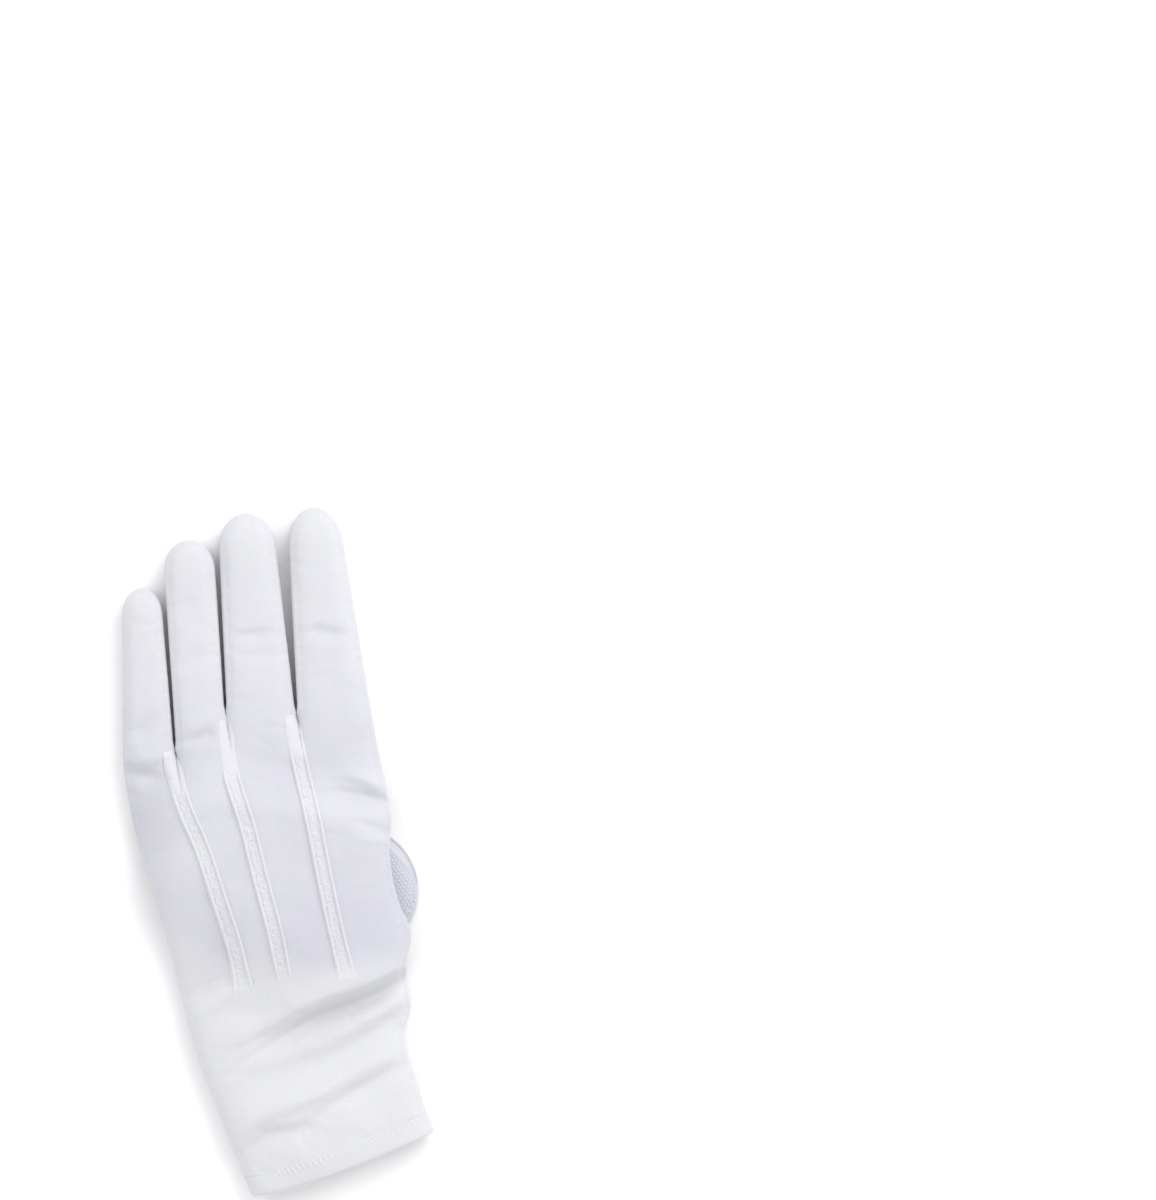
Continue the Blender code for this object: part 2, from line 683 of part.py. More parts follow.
def raised_point(point, seat):
    """A raised seam: two ridges with a lower band between them, seated on the back panel."""
    start_share = crotch_shares()[point["crotch"]]
    top, bottom = root_line(start_share) - POINT_START, point["along"] * PALM_LENGTH
    steps = np.linspace(0, 1, len(point["middles"]))
    seats = (-1, -0.5, 0, 0.5, 1)
    profile = ((-1, 0.4), (-0.72, 1.0), (0, 0.45), (0.72, 1.0), (1, 0.4))
    profile += tuple((side, 0) for side in reversed(seats))
    reach = (top - bottom) / (POINT_STATIONS - 1) / 2
    points = []
    for t in np.linspace(0, 1, POINT_STATIONS):
        y = top + (bottom - top) * t
        middle = through(t, steps, np.array(point["middles"]) * PALM_WIDTH)
        taper = (0.75 + 0.25 * smoothstep(t / 0.08)) * (1 - 0.4 * smoothstep((t - 0.85) / 0.15))
        width = POINT_WIDTH * taper
        floors = [seated(seat, middle + side * width / 2, y, reach) for side in seats]
        for side, height in profile:
            floor = np.interp(side, seats, floors)
            points.append((middle + side * width / 2, y, floor + SEAM_GAP + height * POINT_HEIGHT))
    n = len(profile)
    faces = [
        (i * n + j, (i + 1) * n + j, (i + 1) * n + (j + 1) % n, i * n + (j + 1) % n)
        for i in range(POINT_STATIONS - 1)
        for j in range(n)
    ]
    faces += [tuple(range(n)), tuple(range(len(points) - 1, len(points) - n - 1, -1))]
    make_object(point["name"], points, faces, SMOOTH_CLOTH)


# Thumb


def thumb_rows(divisions):
    """Rows across the thumb from its base end to its tip: middle, half-width and rounding."""
    base, tip, direction = thumb_axis()
    radii = THUMB_BASE_WIDTH / 2, THUMB_TIP_WIDTH / 2
    rows = [(base - radii[0] * math.sin(a) * direction, radii[0] * math.cos(a), math.cos(a))
            for a in np.linspace(math.pi / 2, 0, CAP_ROWS + 1)]
    rows += [(base + (tip - base) * t, radii[0] + (radii[1] - radii[0]) * t, 1.0)
             for t in np.linspace(0, 1, divisions + 1)[1:]]
    rows += [(tip + radii[1] * math.sin(a) * direction, radii[1] * math.cos(a), math.cos(a))
             for a in np.linspace(0, math.pi / 2, CAP_ROWS + 1)[1:]]
    return rows, direction


def thumb_panel(name, upper, finish):
    """The half of the thumb's pouch above or below its seam."""
    rows, direction = thumb_rows(SHAFT_ROWS)
    aside = np.array([direction[1], -direction[0]])
    sections = finger_sections(FINGER_DIVISIONS)
    crown = THUMB_HEIGHT - THUMB_SEAM_HEIGHT if upper else THUMB_SEAM_HEIGHT
    power = THUMB_CROWN_POWER if upper else THUMB_SOLE_POWER
    start = THUMB_SEAM_HEIGHT + (SEAM_GAP / 2 if upper else -SEAM_GAP / 2)
    rise = (crown - SEAM_GAP / 2) * (1 if upper else -1)
    grid, made_rows = Grid(), []
    for middle, half, narrow in rows:
        if narrow < 1e-6:
            made_rows.append([grid.vertex(*middle, 0, 0, 0, 0)] * len(sections))
            continue
        places = [middle + c * half * aside for c in sections]
        shapes = [math.sqrt(narrow) * float(dome(c, power)) for c in sections]
        made_rows.append([grid.vertex(*p, 0, 0, s, s) for p, s in zip(places, shapes)])
    for row, ahead in zip(made_rows[:-1], made_rows[1:]):
        grid.strip(row, ahead)
    inner_rows = made_rows[1:-1]
    loop = [made_rows[0][0]] + [row[0] for row in inner_rows] + [made_rows[-1][0]]
    loop += [row[-1] for row in reversed(inner_rows)]
    shape = np.array(grid.facts)[:, 2]
    outer = np.column_stack([np.array(grid.plan), start + rise * shape])
    faces = grid.faces if upper else [tuple(reversed(face)) for face in grid.faces]
    normals = vertex_normals(outer, faces)
    closed = np.array(grid.plan)[loop]
    run = np.roll(closed, -1, axis=0) - np.roll(closed, 1, axis=0)
    run /= np.linalg.norm(run, axis=1)[:, None]
    normals[loop] = np.column_stack([-run[:, 1], run[:, 0], np.zeros(len(run))])
    return solid_between(name, faces, outer, outer - WALL * normals, finish)


def upright_cutter(name, centre, half_long, half_wide, direction, bottom, top):
    """An upright oval prism that cuts a hole through a lying wall."""
    aside = np.array([direction[1], -direction[0]])
    angles = np.linspace(0, 2 * math.pi, ROUND_SIDES + 1)[:-1]
    ring = [centre + half_long * math.cos(a) * direction - half_wide * math.sin(a) * aside for a in angles]
    points = [(*p, z) for z in (bottom, top) for p in ring]
    n = ROUND_SIDES
    faces = [(i, (i + 1) % n, (i + 1) % n + n, i + n) for i in range(n)]
    faces += [tuple(range(n - 1, -1, -1)), tuple(range(n, 2 * n))]
    cutter = make_object(name, points, faces, SNAP_PLASTIC, smooth=False)
    cutter.hide_render = True
    cutter.display_type = "WIRE"
    return cutter


def cut(obj, cutter):
    modifier = obj.modifiers.new(f"cut_{cutter.name}", "BOOLEAN")
    modifier.operation = "DIFFERENCE"
    modifier.object = cutter


def turned(name, centre, profile, finish):
    """A solid of revolution on an upright axis, from a (radius, z) profile that starts and ends on it."""
    angles = np.linspace(0, 2 * math.pi, ROUND_SIDES + 1)[:-1]
    points, rings = [], []
    for radius, z in profile:
        if radius < 1e-9:
            rings.append([len(points)] * ROUND_SIDES)
            points.append((*centre, z))
            continue
        rings.append(list(range(len(points), len(points) + ROUND_SIDES)))
        points += [(centre[0] + radius * math.cos(a), centre[1] + radius * math.sin(a), z) for a in angles]
    faces = []
    for ring, following in zip(rings[:-1], rings[1:]):
        for i in range(ROUND_SIDES):
            j = (i + 1) % ROUND_SIDES
            corners = tuple(dict.fromkeys((ring[i], ring[j], following[j], following[i])))
            if len(corners) > 2:
                faces.append(corners)
    return make_object(name, points, faces, finish)


def snap():
    """The cap with its post below the flap, and the socket inside the cuff."""
    centre = snap_centre()
    half, post = SNAP_DIAMETER / 2, POST_DIAMETER / 2
    flap = float(lift(*centre)) + HEM_PROUD
    socket = flap + LAP_RISE + WALL + SEAM_GAP
    roof = socket + SOCKET_THICKNESS
    tip = roof - SOCKET_FLOOR - SEAM_GAP
    under = flap - SEAM_GAP
    base = under - SNAP_THICKNESS
    rim = [(half, base + SNAP_THICKNESS * 0.45), (half, under - SNAP_THICKNESS * 0.2)]
    face = [(half * r, base + SNAP_THICKNESS * z) for r, z in ((0.5, 0.0), (0.8, 0.08), (0.94, 0.22))]
    stem = [(half * 0.93, under), (post, under), (post, tip), (0, tip)]
    turned("snap_cap", centre, [(0, base)] + face + rim + stem, SNAP_PLASTIC)
    hole, wide = post + SEAM_GAP, SOCKET_DIAMETER / 2
    turned("snap_socket", centre,
           [(0, tip + SEAM_GAP), (hole, tip + SEAM_GAP), (hole, socket), (wide * 0.96, socket),
            (wide, socket + SOCKET_THICKNESS * 0.25), (wide, roof - SOCKET_THICKNESS * 0.25),
            (wide * 0.92, roof), (0, roof)], SNAP_PLASTIC)
    across_axis = np.array([1.0, 0.0])
    return upright_cutter("post_hole", centre, hole, hole, across_axis, base, roof)


def set_origin_below():
    """Moves every piece so that the glove's box is centred on the origin and stands on z = 0."""
    objects = list(bpy.context.scene.objects)
    shown = [v.co for obj in objects if not obj.hide_render for v in obj.data.vertices]
    points = np.array([tuple(p) for p in shown])
    low, high = points.min(0), points.max(0)
    shift = Vector((-(low[0] + high[0]) / 2, -(low[1] + high[1]) / 2, -low[2]))
    for obj in objects:
        obj.location = shift


def build():
    for obj in list(bpy.data.objects):
        bpy.data.objects.remove(obj, do_unlink=True)
    back_grid, palm_grid = glove_grid(slit=False), glove_grid(slit=True)
    back = side_panel("back_panel", back_grid, True, SMOOTH_CLOTH)
    palm = side_panel("palm_panel", palm_grid, False, DOTTED_CLOTH)
    fourchettes(back_grid)
    corners = [v.co for v in back.data.vertices]
    seat = BVHTree.FromPolygons(corners, [p.vertices for p in back.data.polygons])
    for row in POINTS:
        raised_point(dict(zip(POINT_COLUMNS, row)), seat)
    cuff_hem()
    slit_binding()
    front = thumb_panel("thumb_front", True, DOTTED_CLOTH)
    thumb_panel("thumb_back", False, SMOOTH_CLOTH)
    base, _, direction = thumb_axis()
    mouth = upright_cutter(
        "thumb_mouth", base + THUMB_HOLE_SETBACK * direction, THUMB_HOLE_LENGTH / 2, THUMB_HOLE_WIDTH / 2,
        direction, THUMB_SEAM_HEIGHT, THUMB_HEIGHT + SEAM_HEIGHT
    )
    cut(palm, mouth)
    cut(front, mouth)
    cut(palm, snap())
    set_origin_below()


build()
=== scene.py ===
"""The looks of a white parade glove for the left hand, lying palm down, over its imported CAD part."""

import math

import bpy
import numpy as np
from mathutils import Matrix, Vector, noise
from mathutils.bvhtree import BVHTree
from mathutils.kdtree import KDTree


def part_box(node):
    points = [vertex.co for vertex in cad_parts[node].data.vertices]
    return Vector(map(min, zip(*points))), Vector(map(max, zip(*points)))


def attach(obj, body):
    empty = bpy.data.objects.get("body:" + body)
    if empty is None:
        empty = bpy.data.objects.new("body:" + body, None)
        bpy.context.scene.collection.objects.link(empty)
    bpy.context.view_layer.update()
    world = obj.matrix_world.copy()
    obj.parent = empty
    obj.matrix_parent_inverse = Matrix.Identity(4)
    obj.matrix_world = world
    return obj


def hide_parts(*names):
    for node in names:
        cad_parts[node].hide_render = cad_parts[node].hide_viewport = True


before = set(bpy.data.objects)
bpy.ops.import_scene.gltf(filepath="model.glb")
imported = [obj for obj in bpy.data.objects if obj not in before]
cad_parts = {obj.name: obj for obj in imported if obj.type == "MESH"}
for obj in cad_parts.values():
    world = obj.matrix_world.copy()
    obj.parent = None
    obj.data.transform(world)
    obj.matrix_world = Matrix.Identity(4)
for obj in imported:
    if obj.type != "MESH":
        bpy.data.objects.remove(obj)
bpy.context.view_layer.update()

# Main sizes of the glove, as in the CAD part
PALM_WIDTH = 0.092
CUFF_WIDTH = 0.072
PALM_LENGTH = 0.168
HEM_LOW = 0.0062
HEM_SLANT = 0.0135
LITTLE_LENGTH = 0.0613
RING_LENGTH = 0.0694
MIDDLE_LENGTH = 0.0727
INDEX_LENGTH = 0.0754
WALL = 0.001
SEAM_GAP = 0.0001
FINGER_GAP = 0.0009
HEM_WIDTH = 0.0075
HEM_WALL = 0.0016
SEAM_HEIGHT = 0.0048
FINGER_CROWN = 0.0062
BODY_CROWN = 0.0068
ROOT_BLEND = 0.020
FOURCHETTE_WIDTH = 0.0052
THUMB_LENGTH = 0.088
THUMB_BASE_WIDTH = 0.048
THUMB_TIP_WIDTH = 0.022
THUMB_HEIGHT = 0.0085
THUMB_SEAM_HEIGHT = 0.0035
THUMB_PEEK = 0.0085
THUMB_LEAN = math.radians(30)
THUMB_CLEARANCE = 0.0004
THUMB_HOLE_LENGTH = 0.024
THUMB_HOLE_WIDTH = 0.021
THUMB_HOLE_SETBACK = 0.009
THUMB_DRAPE = 0.022
WRIST_DRAPE = 0.042
FOLD_DROP = 0.0048
POINT_WIDTH = 0.0064
POINT_HEIGHT = 0.0012
POINT_START = 0.0006
SLIT_LENGTH = 0.056
FLAP_LAP = 0.0135
UNDER_LAP = 0.0085
BINDING_WIDTH = 0.0036
EYELET_WIDTH = 0.0022
SNAP_DIAMETER = 0.0135
SNAP_THICKNESS = 0.0022
SNAP_TO_EDGE = 0.0124
SNAP_TO_HEM = 0.0150
SNAP_DRAPE = 0.016
POST_DIAMETER = 0.004
SOCKET_DIAMETER = 0.0095
SOCKET_THICKNESS = 0.0018
SOCKET_FLOOR = 0.0007
CAD_GAP = 0.0003
MM = 0.001
EDGE_STEP = 0.0004
WRINKLE_SIZE = np.array([0.017, 0.0075, 0.02])
WRINKLE_DEPTH = 0.30

# Shares of the named sizes, as in the CAD part
ROOT_ALONG = (0.935, 0.952, 1.0155, 0.990, 0.964)
THUMB_ALONG = 0.588
SLIT_SHARE = 0.5
EYELET_END = 0.25
BINDING_START = 0.12
FLAP_CLIMB_END = 0.86
SOLE_FADE = 0.3
LAP_EASE = 0.02
FOURCHETTE_END = 0.9
SEAM_FOLD = 0.35
FINGER_CROWN_POWER, FINGER_SOLE_POWER = 2.9, 4.0
BODY_CROWN_POWER, BODY_SOLE_POWER = 6.0, 12.0
THUMB_CROWN_POWER, THUMB_SOLE_POWER = 5.0, 8.0
FLATTENING = 1.03

BODY_COLUMNS = ("along", "centre", "spread")
BODY_STATIONS = (
    (-0.040, 0.018, 0.000),
    (0.030, -0.015, 0.000),
    (0.095, -0.044, 0.025),
    (0.170, -0.069, 0.065),
    (0.226, -0.090, 0.120),
    (0.279, -0.097, 0.230),
    (0.304, -0.087, 0.380),
    (0.381, -0.088, 0.500),
    (0.426, -0.086, 0.595),
    (0.476, -0.075, 0.785),
    (0.545, -0.096, 0.715),
    (0.595, -0.108, 0.730),
    (0.679, -0.113, 0.840),
    (0.726, -0.110, 0.990),
    (0.780, -0.116, 1.060),
    (0.881, -0.127, 1.045),
    (1.020, -0.129, 0.990),
)
FINGER_COLUMNS = ("name", "length", "root", "end", "lean_deg", "cap", "crown")
FINGERS = (
    ("little", LITTLE_LENGTH, 0.212, 0.780, 6.1, 1.32, 0.88),
    ("ring", RING_LENGTH, 0.219, 0.970, 4.7, 1.16, 1.00),
    ("middle", MIDDLE_LENGTH, 0.277, 0.850, 3.8, 1.20, 1.04),
    ("index", INDEX_LENGTH, 0.292, 0.761, 2.3, 1.40, 1.04),
)

# Where the back drops from the thumb's height to the cuff's: places along the middle of the slope, in mm
WRIST_FOLD = (
    (-60, 37), (-36, 41), (-26, 44.5), (-14, 51), (-6, 55), (0, 57.5),
    (9.5, 59.8), (19.5, 62.2), (29.7, 66), (40, 71.5),
)

# Soft creases and ridges of the back. above, below: half-widths on the fingertips' and on the cuff's
# side of the line, then the places that the line runs through, from the little finger's side, each
# with x, y and height. All in millimetres from the outline's origin, below 0 for a dent.
CREASES = (
    (1.7, 4.4, ((-34, 42, -0.2), (-26, 45, -0.9), (-14, 50.5, -1.9), (-6, 54, -2.6), (6, 57.2, -2.9),
                (17, 59.4, -3.0), (29, 63.2, -3.2), (36, 66.8, -3.4))),
    (6.0, 2.2, ((-42, 49, 0.2), (-32, 51, 0.9), (-20, 54.5, 2.0), (-9, 59.4, 2.6), (3, 62.8, 2.7),
                (17, 65, 2.3), (30, 69, 2.1), (36, 72.5, 1.9))),
    (3.0, 6.0, ((-30, 36, -0.3), (-15, 37.5, -0.6), (-2, 39.5, -0.9), (8, 42.5, -1.1),
                (18, 46.5, -1.4), (27, 50.5, -1.9), (32, 53, -2.1))),
    (6.0, 3.4, ((-31, 42, 0.5), (-14, 44, 0.9), (3, 47, 1.2), (17, 52, 1.5), (28, 57, 1.7))),
    (1.6, 4.0, ((-11, 18, -0.7), (-4, 21, -1.2), (6, 26, -1.4), (15, 29, -1.2), (24, 33, -0.7))),
    (6.0, 2.5, ((-38, 15, 1.1), (-30, 21, 1.7), (-20, 24, 1.9), (-7, 27, 1.8), (5, 31, 1.8),
                (16, 35, 1.6), (27, 38, 1.2))),
    (2.0, 5.0, ((-38, 5, -1.0), (-33, 11, -1.5), (-27, 15, -1.8), (-19, 16, -1.8), (-12, 16, -1.4),
                (-7, 15, -0.5))),
    (3.0, 3.0, ((-47, 58, 1.1), (-42, 64, 1.5), (-35, 68, 1.2), (-29, 69, 0.5))),
    (5.0, 3.0, ((-48, 66, -0.6), (-41, 71, -1.0), (-34, 74, -0.8))),
    (14.0, 9.0, ((-56, 160, 0.6), (-35, 158, 0.5), (-12, 155, 0.6), (10, 154, 0.7), (28, 149, 0.7))),
    (12.0, 25.0, ((-53, 124, -0.8), (-33, 125, -1.1), (-10, 129, -0.9), (13, 118, -1.0), (32, 112, -0.9))),
    (6.0, 2.0, ((14, 142, 0.5), (22, 141.3, 1.9), (29, 138.2, 3.3), (35, 134.2, 3.6))),
    (1.7, 6.0, ((9, 135.5, -0.6), (19, 135.5, -2.3), (28, 132.5, -3.7), (35, 128.7, -4.2))),
    (2.5, 1.5, ((24, 129, 0.5), (30, 127, 1.4), (35, 124, 1.9))),
    (1.5, 3.0, ((20, 124.5, -0.5), (27, 122.5, -1.6), (34, 118.5, -2.3))),
    (1.6, 1.6, ((24, 117, 0.2), (30, 116, 0.5), (36, 113, 0.8))),
    (4.0, 2.0, ((-57, 158, 0.9), (-52, 158, 1.3), (-45, 157, 1.1))),
    (1.8, 3.0, ((-58, 155, -1.8), (-53, 153, -2.3), (-48, 151, -2.0), (-44, 150, -0.8))),
    (3.0, 2.5, ((-54, 167, -0.8), (-50, 168, -1.6), (-45, 171, -0.8))),
    (1.6, 2.0, ((-36, 161, -0.3), (-31, 162, -1.2), (-25, 163, -1.3))),
    (3.0, 1.6, ((-36, 164, 0.3), (-30, 166, 0.9), (-24, 168, 0.9))),
    (1.5, 4.0, ((-37, 159, 0.7), (-31, 159, 0.9), (-25, 159, 0.6))),
    (2.0, 3.0, ((-35, 185, -0.4), (-31, 189, -0.9), (-26, 192, -0.9), (-22, 192, -0.3))),
    (3.0, 3.0, ((-29, 209, -0.6), (-26, 211, -0.7))),
    (1.6, 3.0, ((-13, 195, -0.3), (-9, 197, -1.0), (-3, 197, -1.1), (3, 196, -0.5))),
    (3.0, 3.0, ((-8, 189, -0.3), (-2, 189, -0.6))),
    (1.8, 3.0, ((15, 194, -0.5), (19, 195, -1.3), (25, 193, -1.3), (29, 192, -0.5))),
)

# along: share of PALM_LENGTH where it ends. middles: x of its middle at even steps from the crotch to
# its end, in shares of PALM_WIDTH. wedge: share of its length that is smooth at the crotch. flare: its
# width at the end.
POINT_COLUMNS = ("name", "crotch", "along", "middles", "wedge", "flare")
POINTS = (
    ("point_little", 1, 0.393, (-0.447, -0.417, -0.365, -0.330, -0.297, -0.289), 0.15, 1.35),
    ("point_middle", 2, 0.402, (-0.204, -0.212, -0.177, -0.155, -0.130, -0.120), 0.19, 0.85),
    ("point_index", 3, 0.402, (0.051, 0.066, 0.085, 0.095, 0.108, 0.126), 0.13, 1.10),
)

# Density of this model's meshes
FINGER_DIVISIONS = 26
SHAFT_ROWS = 56
CAP_ROWS = 14
BODY_ROWS = 104
EYELET_ROWS = 7
SLIT_ROWS = 34
HEM_ROWS = 12
HEM_REFINE = 3
POINT_STATIONS = 420
ROUND_SIDES = 64
ROUND_ANGLES = np.linspace(0, 2 * math.pi, ROUND_SIDES + 1)[:-1]
THREAD_SIDES = 6

THUMB_RIM = 0.0036
THUMB_RIM_START = 0.006
THUMB_RIM_RISE = 0.020
THUMB_CURL = 0.0022
HEM_PROUD = (HEM_WALL - WALL) / 2
LAP_RISE = HEM_WALL + CAD_GAP
THUMB_LIFT = THUMB_HEIGHT + THUMB_CLEARANCE
SNAP_LIFT = SNAP_THICKNESS + CAD_GAP - HEM_PROUD


# Curves and rounded sections


def column(table, names, wanted):
    return np.array([row[names.index(wanted)] for row in table], float)


def ease(t):
    t = np.clip(t, 0.0, 1.0)
    return t * t * (3 - 2 * t)


def through(x, xs, ys):
    slopes = np.gradient(ys, xs)
    x = np.clip(x, xs[0], xs[-1])
    i = np.clip(np.searchsorted(xs, x, side="right") - 1, 0, len(xs) - 2)
    span = xs[i + 1] - xs[i]
    t = (x - xs[i]) / span
    start = (1 + 2 * t) * (1 - t) ** 2 * ys[i] + t * (1 - t) ** 2 * span * slopes[i]
    end = t * t * (3 - 2 * t) * ys[i + 1] - t * t * (1 - t) * span * slopes[i + 1]
    return start + end


def bell(t):
    return np.exp(-(t**2))


def dome(t, power):
    return np.sqrt(np.clip(1 - np.abs(t) ** power, 0, 1))


def flat_dome(t, power):
    return np.minimum(1, FLATTENING * dome(t, power))


def unit(vectors):
    return vectors / np.maximum(np.linalg.norm(vectors, axis=-1, keepdims=True), 1e-15)


def sideways(run):
    """Level unit vectors at right angles to a line's directions."""
    run = unit(run)
    return np.column_stack([-run[:, 1], run[:, 0], np.zeros(len(run))])


def run_lengths(path):
    return np.concatenate([[0], np.cumsum(np.linalg.norm(np.diff(path, axis=0), axis=1))])


def tree_of(places):
    tree = KDTree(len(places))
    for i, place in enumerate(places):
        tree.insert(place, i)
    tree.balance()
    return tree


# The plan


def body_edges(y):
    along, centre, spread = (column(BODY_STATIONS, BODY_COLUMNS, name) for name in BODY_COLUMNS)
    along = along * PALM_LENGTH
    centre = through(y, along, centre) * PALM_WIDTH
    half = (CUFF_WIDTH + through(y, along, spread) * (PALM_WIDTH - CUFF_WIDTH)) / 2
    return centre - half, centre + half


def across(share, y):
    left, right = body_edges(y)
    return left + share * (right - left)


def hem_edge(share):
    return HEM_SLANT * np.clip(share, 0, 1) ** 1.5 - HEM_LOW


def crotch_shares():
    return np.concatenate([[0], np.cumsum(column(FINGERS, FINGER_COLUMNS, "root"))])


def root_line(share):
    return np.interp(share, crotch_shares(), np.array(ROOT_ALONG) * PALM_LENGTH)


def finger_sections(divisions):
    return -np.cos(np.linspace(0, math.pi, divisions + 1))


def body_shares(divisions):
    edges = crotch_shares()
    cuts = (finger_sections(divisions) + 1) / 2
    inside = [a + cuts[:-1] * (b - a) for a, b in zip(edges[:-1], edges[1:])]
    return np.concatenate(inside + [[1.0]])


def cut_column(shares):
    return int(np.argmin(np.abs(shares - SLIT_SHARE)))


def thumb_axis():
    y = THUMB_ALONG * PALM_LENGTH
    base = np.array([body_edges(y)[1] + THUMB_PEEK - THUMB_BASE_WIDTH / 2, y])
    reach = THUMB_LENGTH - (THUMB_BASE_WIDTH + THUMB_TIP_WIDTH) / 2
    direction = np.array([-math.cos(THUMB_LEAN), math.sin(THUMB_LEAN)])
    return base, base + reach * direction, direction


def snap_centre():
    y = hem_edge(SLIT_SHARE) + SNAP_TO_HEM
    return np.array([flap_edge(y) - SNAP_TO_EDGE, y])


def slit_depth(y):
    end = hem_edge(SLIT_SHARE)
    return np.clip((end + SLIT_LENGTH - y) / SLIT_LENGTH, 0, 1)


def eyelet_half(y):
    return EYELET_WIDTH / 2 * np.sin(math.pi * np.clip(slit_depth(y) / EYELET_END, 0, 1))


def slit_lap(y):
    return ease((slit_depth(y) - EYELET_END) / (1 - EYELET_END))


def flap_edge(y):
    return across(SLIT_SHARE, y) + FLAP_LAP * slit_lap(y) - eyelet_half(y)


def under_edge(y):
    return across(SLIT_SHARE, y) - UNDER_LAP * slit_lap(y) + eyelet_half(y)


# The heights


def beside(x, y, a, b):
    """Share of the way from a to b that is nearest to each place, and the steps from there to it."""
    run = b - a
    share = np.clip(((x - a[0]) * run[0] + (y - a[1]) * run[1]) / (run @ run), 0, 1)
    return share, x - a[0] - share * run[0], y - a[1] - share * run[1]


def lift(x, y):
    share, dx, dy = beside(x, y, *thumb_axis()[:2])
    off = np.maximum(np.hypot(dx, dy), 1e-9)
    radius = (THUMB_BASE_WIDTH + share * (THUMB_TIP_WIDTH - THUMB_BASE_WIDTH)) / 2
    drape = THUMB_DRAPE + (WRIST_DRAPE - THUMB_DRAPE) * ease(-dy / off / 0.6)
    fold = through(x, *np.array(WRIST_FOLD).T * MM)
    over_thumb = (1 - ease((off - radius) / drape)) * ease((y - fold) / FOLD_DROP + 0.5)
    snap = snap_centre()
    from_snap = np.hypot(x - snap[0], y - snap[1]) - SNAP_DIAMETER / 2 - 2 * WALL
    return THUMB_LIFT * over_thumb + SNAP_LIFT * (1 - ease(from_snap / SNAP_DRAPE))


def creases(x, y):
    """Height of the cloth's creases and ridges, each steeper or gentler on its two sides."""
    total = np.zeros(np.shape(x))
    for above, below, places in CREASES:
        line = np.array(places) * MM
        nearest, signed, height = np.full(np.shape(x), 9.0), np.zeros(np.shape(x)), np.zeros(np.shape(x))
        for a, b in zip(line[:-1], line[1:]):
            share, dx, dy = beside(x, y, a[:2], b[:2])
            off = np.hypot(dx, dy)
            closer = off < nearest
            nearest = np.where(closer, off, nearest)
            run = unit(b[:2] - a[:2])
            signed = np.where(closer, run[0] * dy - run[1] * dx, signed)
            height = np.where(closer, a[2] + share * (b[2] - a[2]), height)
        mix = ease(signed / (1.2 * MM) + 0.5)
        width = (below + (above - below) * mix) * MM
        total = total + height * bell(nearest / width)
    return total


def seam_level(x, y):
    return SEAM_HEIGHT + lift(x, y) + SEAM_FOLD * creases(x, y)


def back_height(x, y, edge, crown, shape):
    rise = crown + (1 - SEAM_FOLD) * creases(x, y) - edge
    return seam_level(x, y) + SEAM_GAP / 2 + edge + rise * shape


def palm_height(x, y, edge, shape, rise=0.0):
    start = seam_level(x, y) - SEAM_GAP / 2 - edge
    above_slit = (y - hem_edge(SLIT_SHARE)) / SLIT_LENGTH - 1
    sole = lift(x, y) + HEM_PROUD * (1 - ease(above_slit / SOLE_FADE)) + rise
    return start + (sole - start) * shape


# The grids


def quads(row, next_row):
    """Faces between two rows of point numbers. A corner that a face has twice is left out."""
    made = [tuple(dict.fromkeys(c)) for c in zip(row[:-1], row[1:], next_row[1:], next_row[:-1])]
    return [corners for corners in made if len(corners) > 2]


def ring_of(start, sides):
    """Point numbers once round, with the first again at the end."""
    return [start + k % sides for k in range(sides + 1)]


def turn(points, faces, place, axes, profile, sides):
    """Adds a shape turned round the third axis. profile: reach along the first two axes and height."""
    loops = []
    for wide, deep, height in profile:
        loops.append(ring_of(len(points), sides) if wide else [len(points)] * (sides + 1))
        for a in np.arange(sides if wide else 1) * 2 * math.pi / sides:
            around = axes[0] * (wide * math.cos(a)) + axes[1] * (deep * math.sin(a))
            points.append(place + around + axes[2] * height)
    for loop, next_loop in zip(loops[:-1], loops[1:]):
        faces += quads(loop, next_loop)


def sheet(rows, columns, order):
    """Faces of a grid of points. order: the corners, 0 and 1 on one row and 2 and 3 on the next."""
    steps = [(0, 1, columns, columns + 1)[k] for k in order]
    return [tuple(i * columns + j + s for s in steps) for i in range(rows - 1) for j in range(columns - 1)]


class Grid:
    def __init__(self):
        self.blocks, self.count, self.faces = [], 0, []
        self.outline, self.tips, self.hem_row, self.slit_sides = [], [], [], []

    def vertices(self, *columns):
        block = np.column_stack([np.broadcast_to(c, np.shape(columns[0])) for c in columns]).astype(float)
        self.blocks.append(block)
        self.count += len(block)
        return list(range(self.count - len(block), self.count))

    def table(self):
        return np.vstack(self.blocks)

    def strip(self, row, next_row):
        self.faces += quads(row, next_row)

    def heights(self, back):
        x, y, edge, crown, top, sole, rise = self.table().T
        z = back_height(x, y, edge, crown, top) if back else palm_height(x, y, edge, sole, rise)
        return np.column_stack([x, y, z])

    def outward(self):
        plan = self.table()[self.outline, :2]
        run = np.zeros_like(plan)
        run[1:-1] = plan[2:] - plan[:-2]
        run[0], run[-1] = plan[1] - plan[0], plan[-1] - plan[-2]
        return sideways(run)


def fourchette_edge(finger, side, share):
    outer = (finger == 0 and side < 0) or (finger == len(FINGERS) - 1 and side > 0)
    fade = 1 - 0.85 * ease((share - 0.45) / (FOURCHETTE_END - 0.45))
    return 0.0 if outer or share > FOURCHETTE_END + 1e-6 else FOURCHETTE_WIDTH / 2 * fade


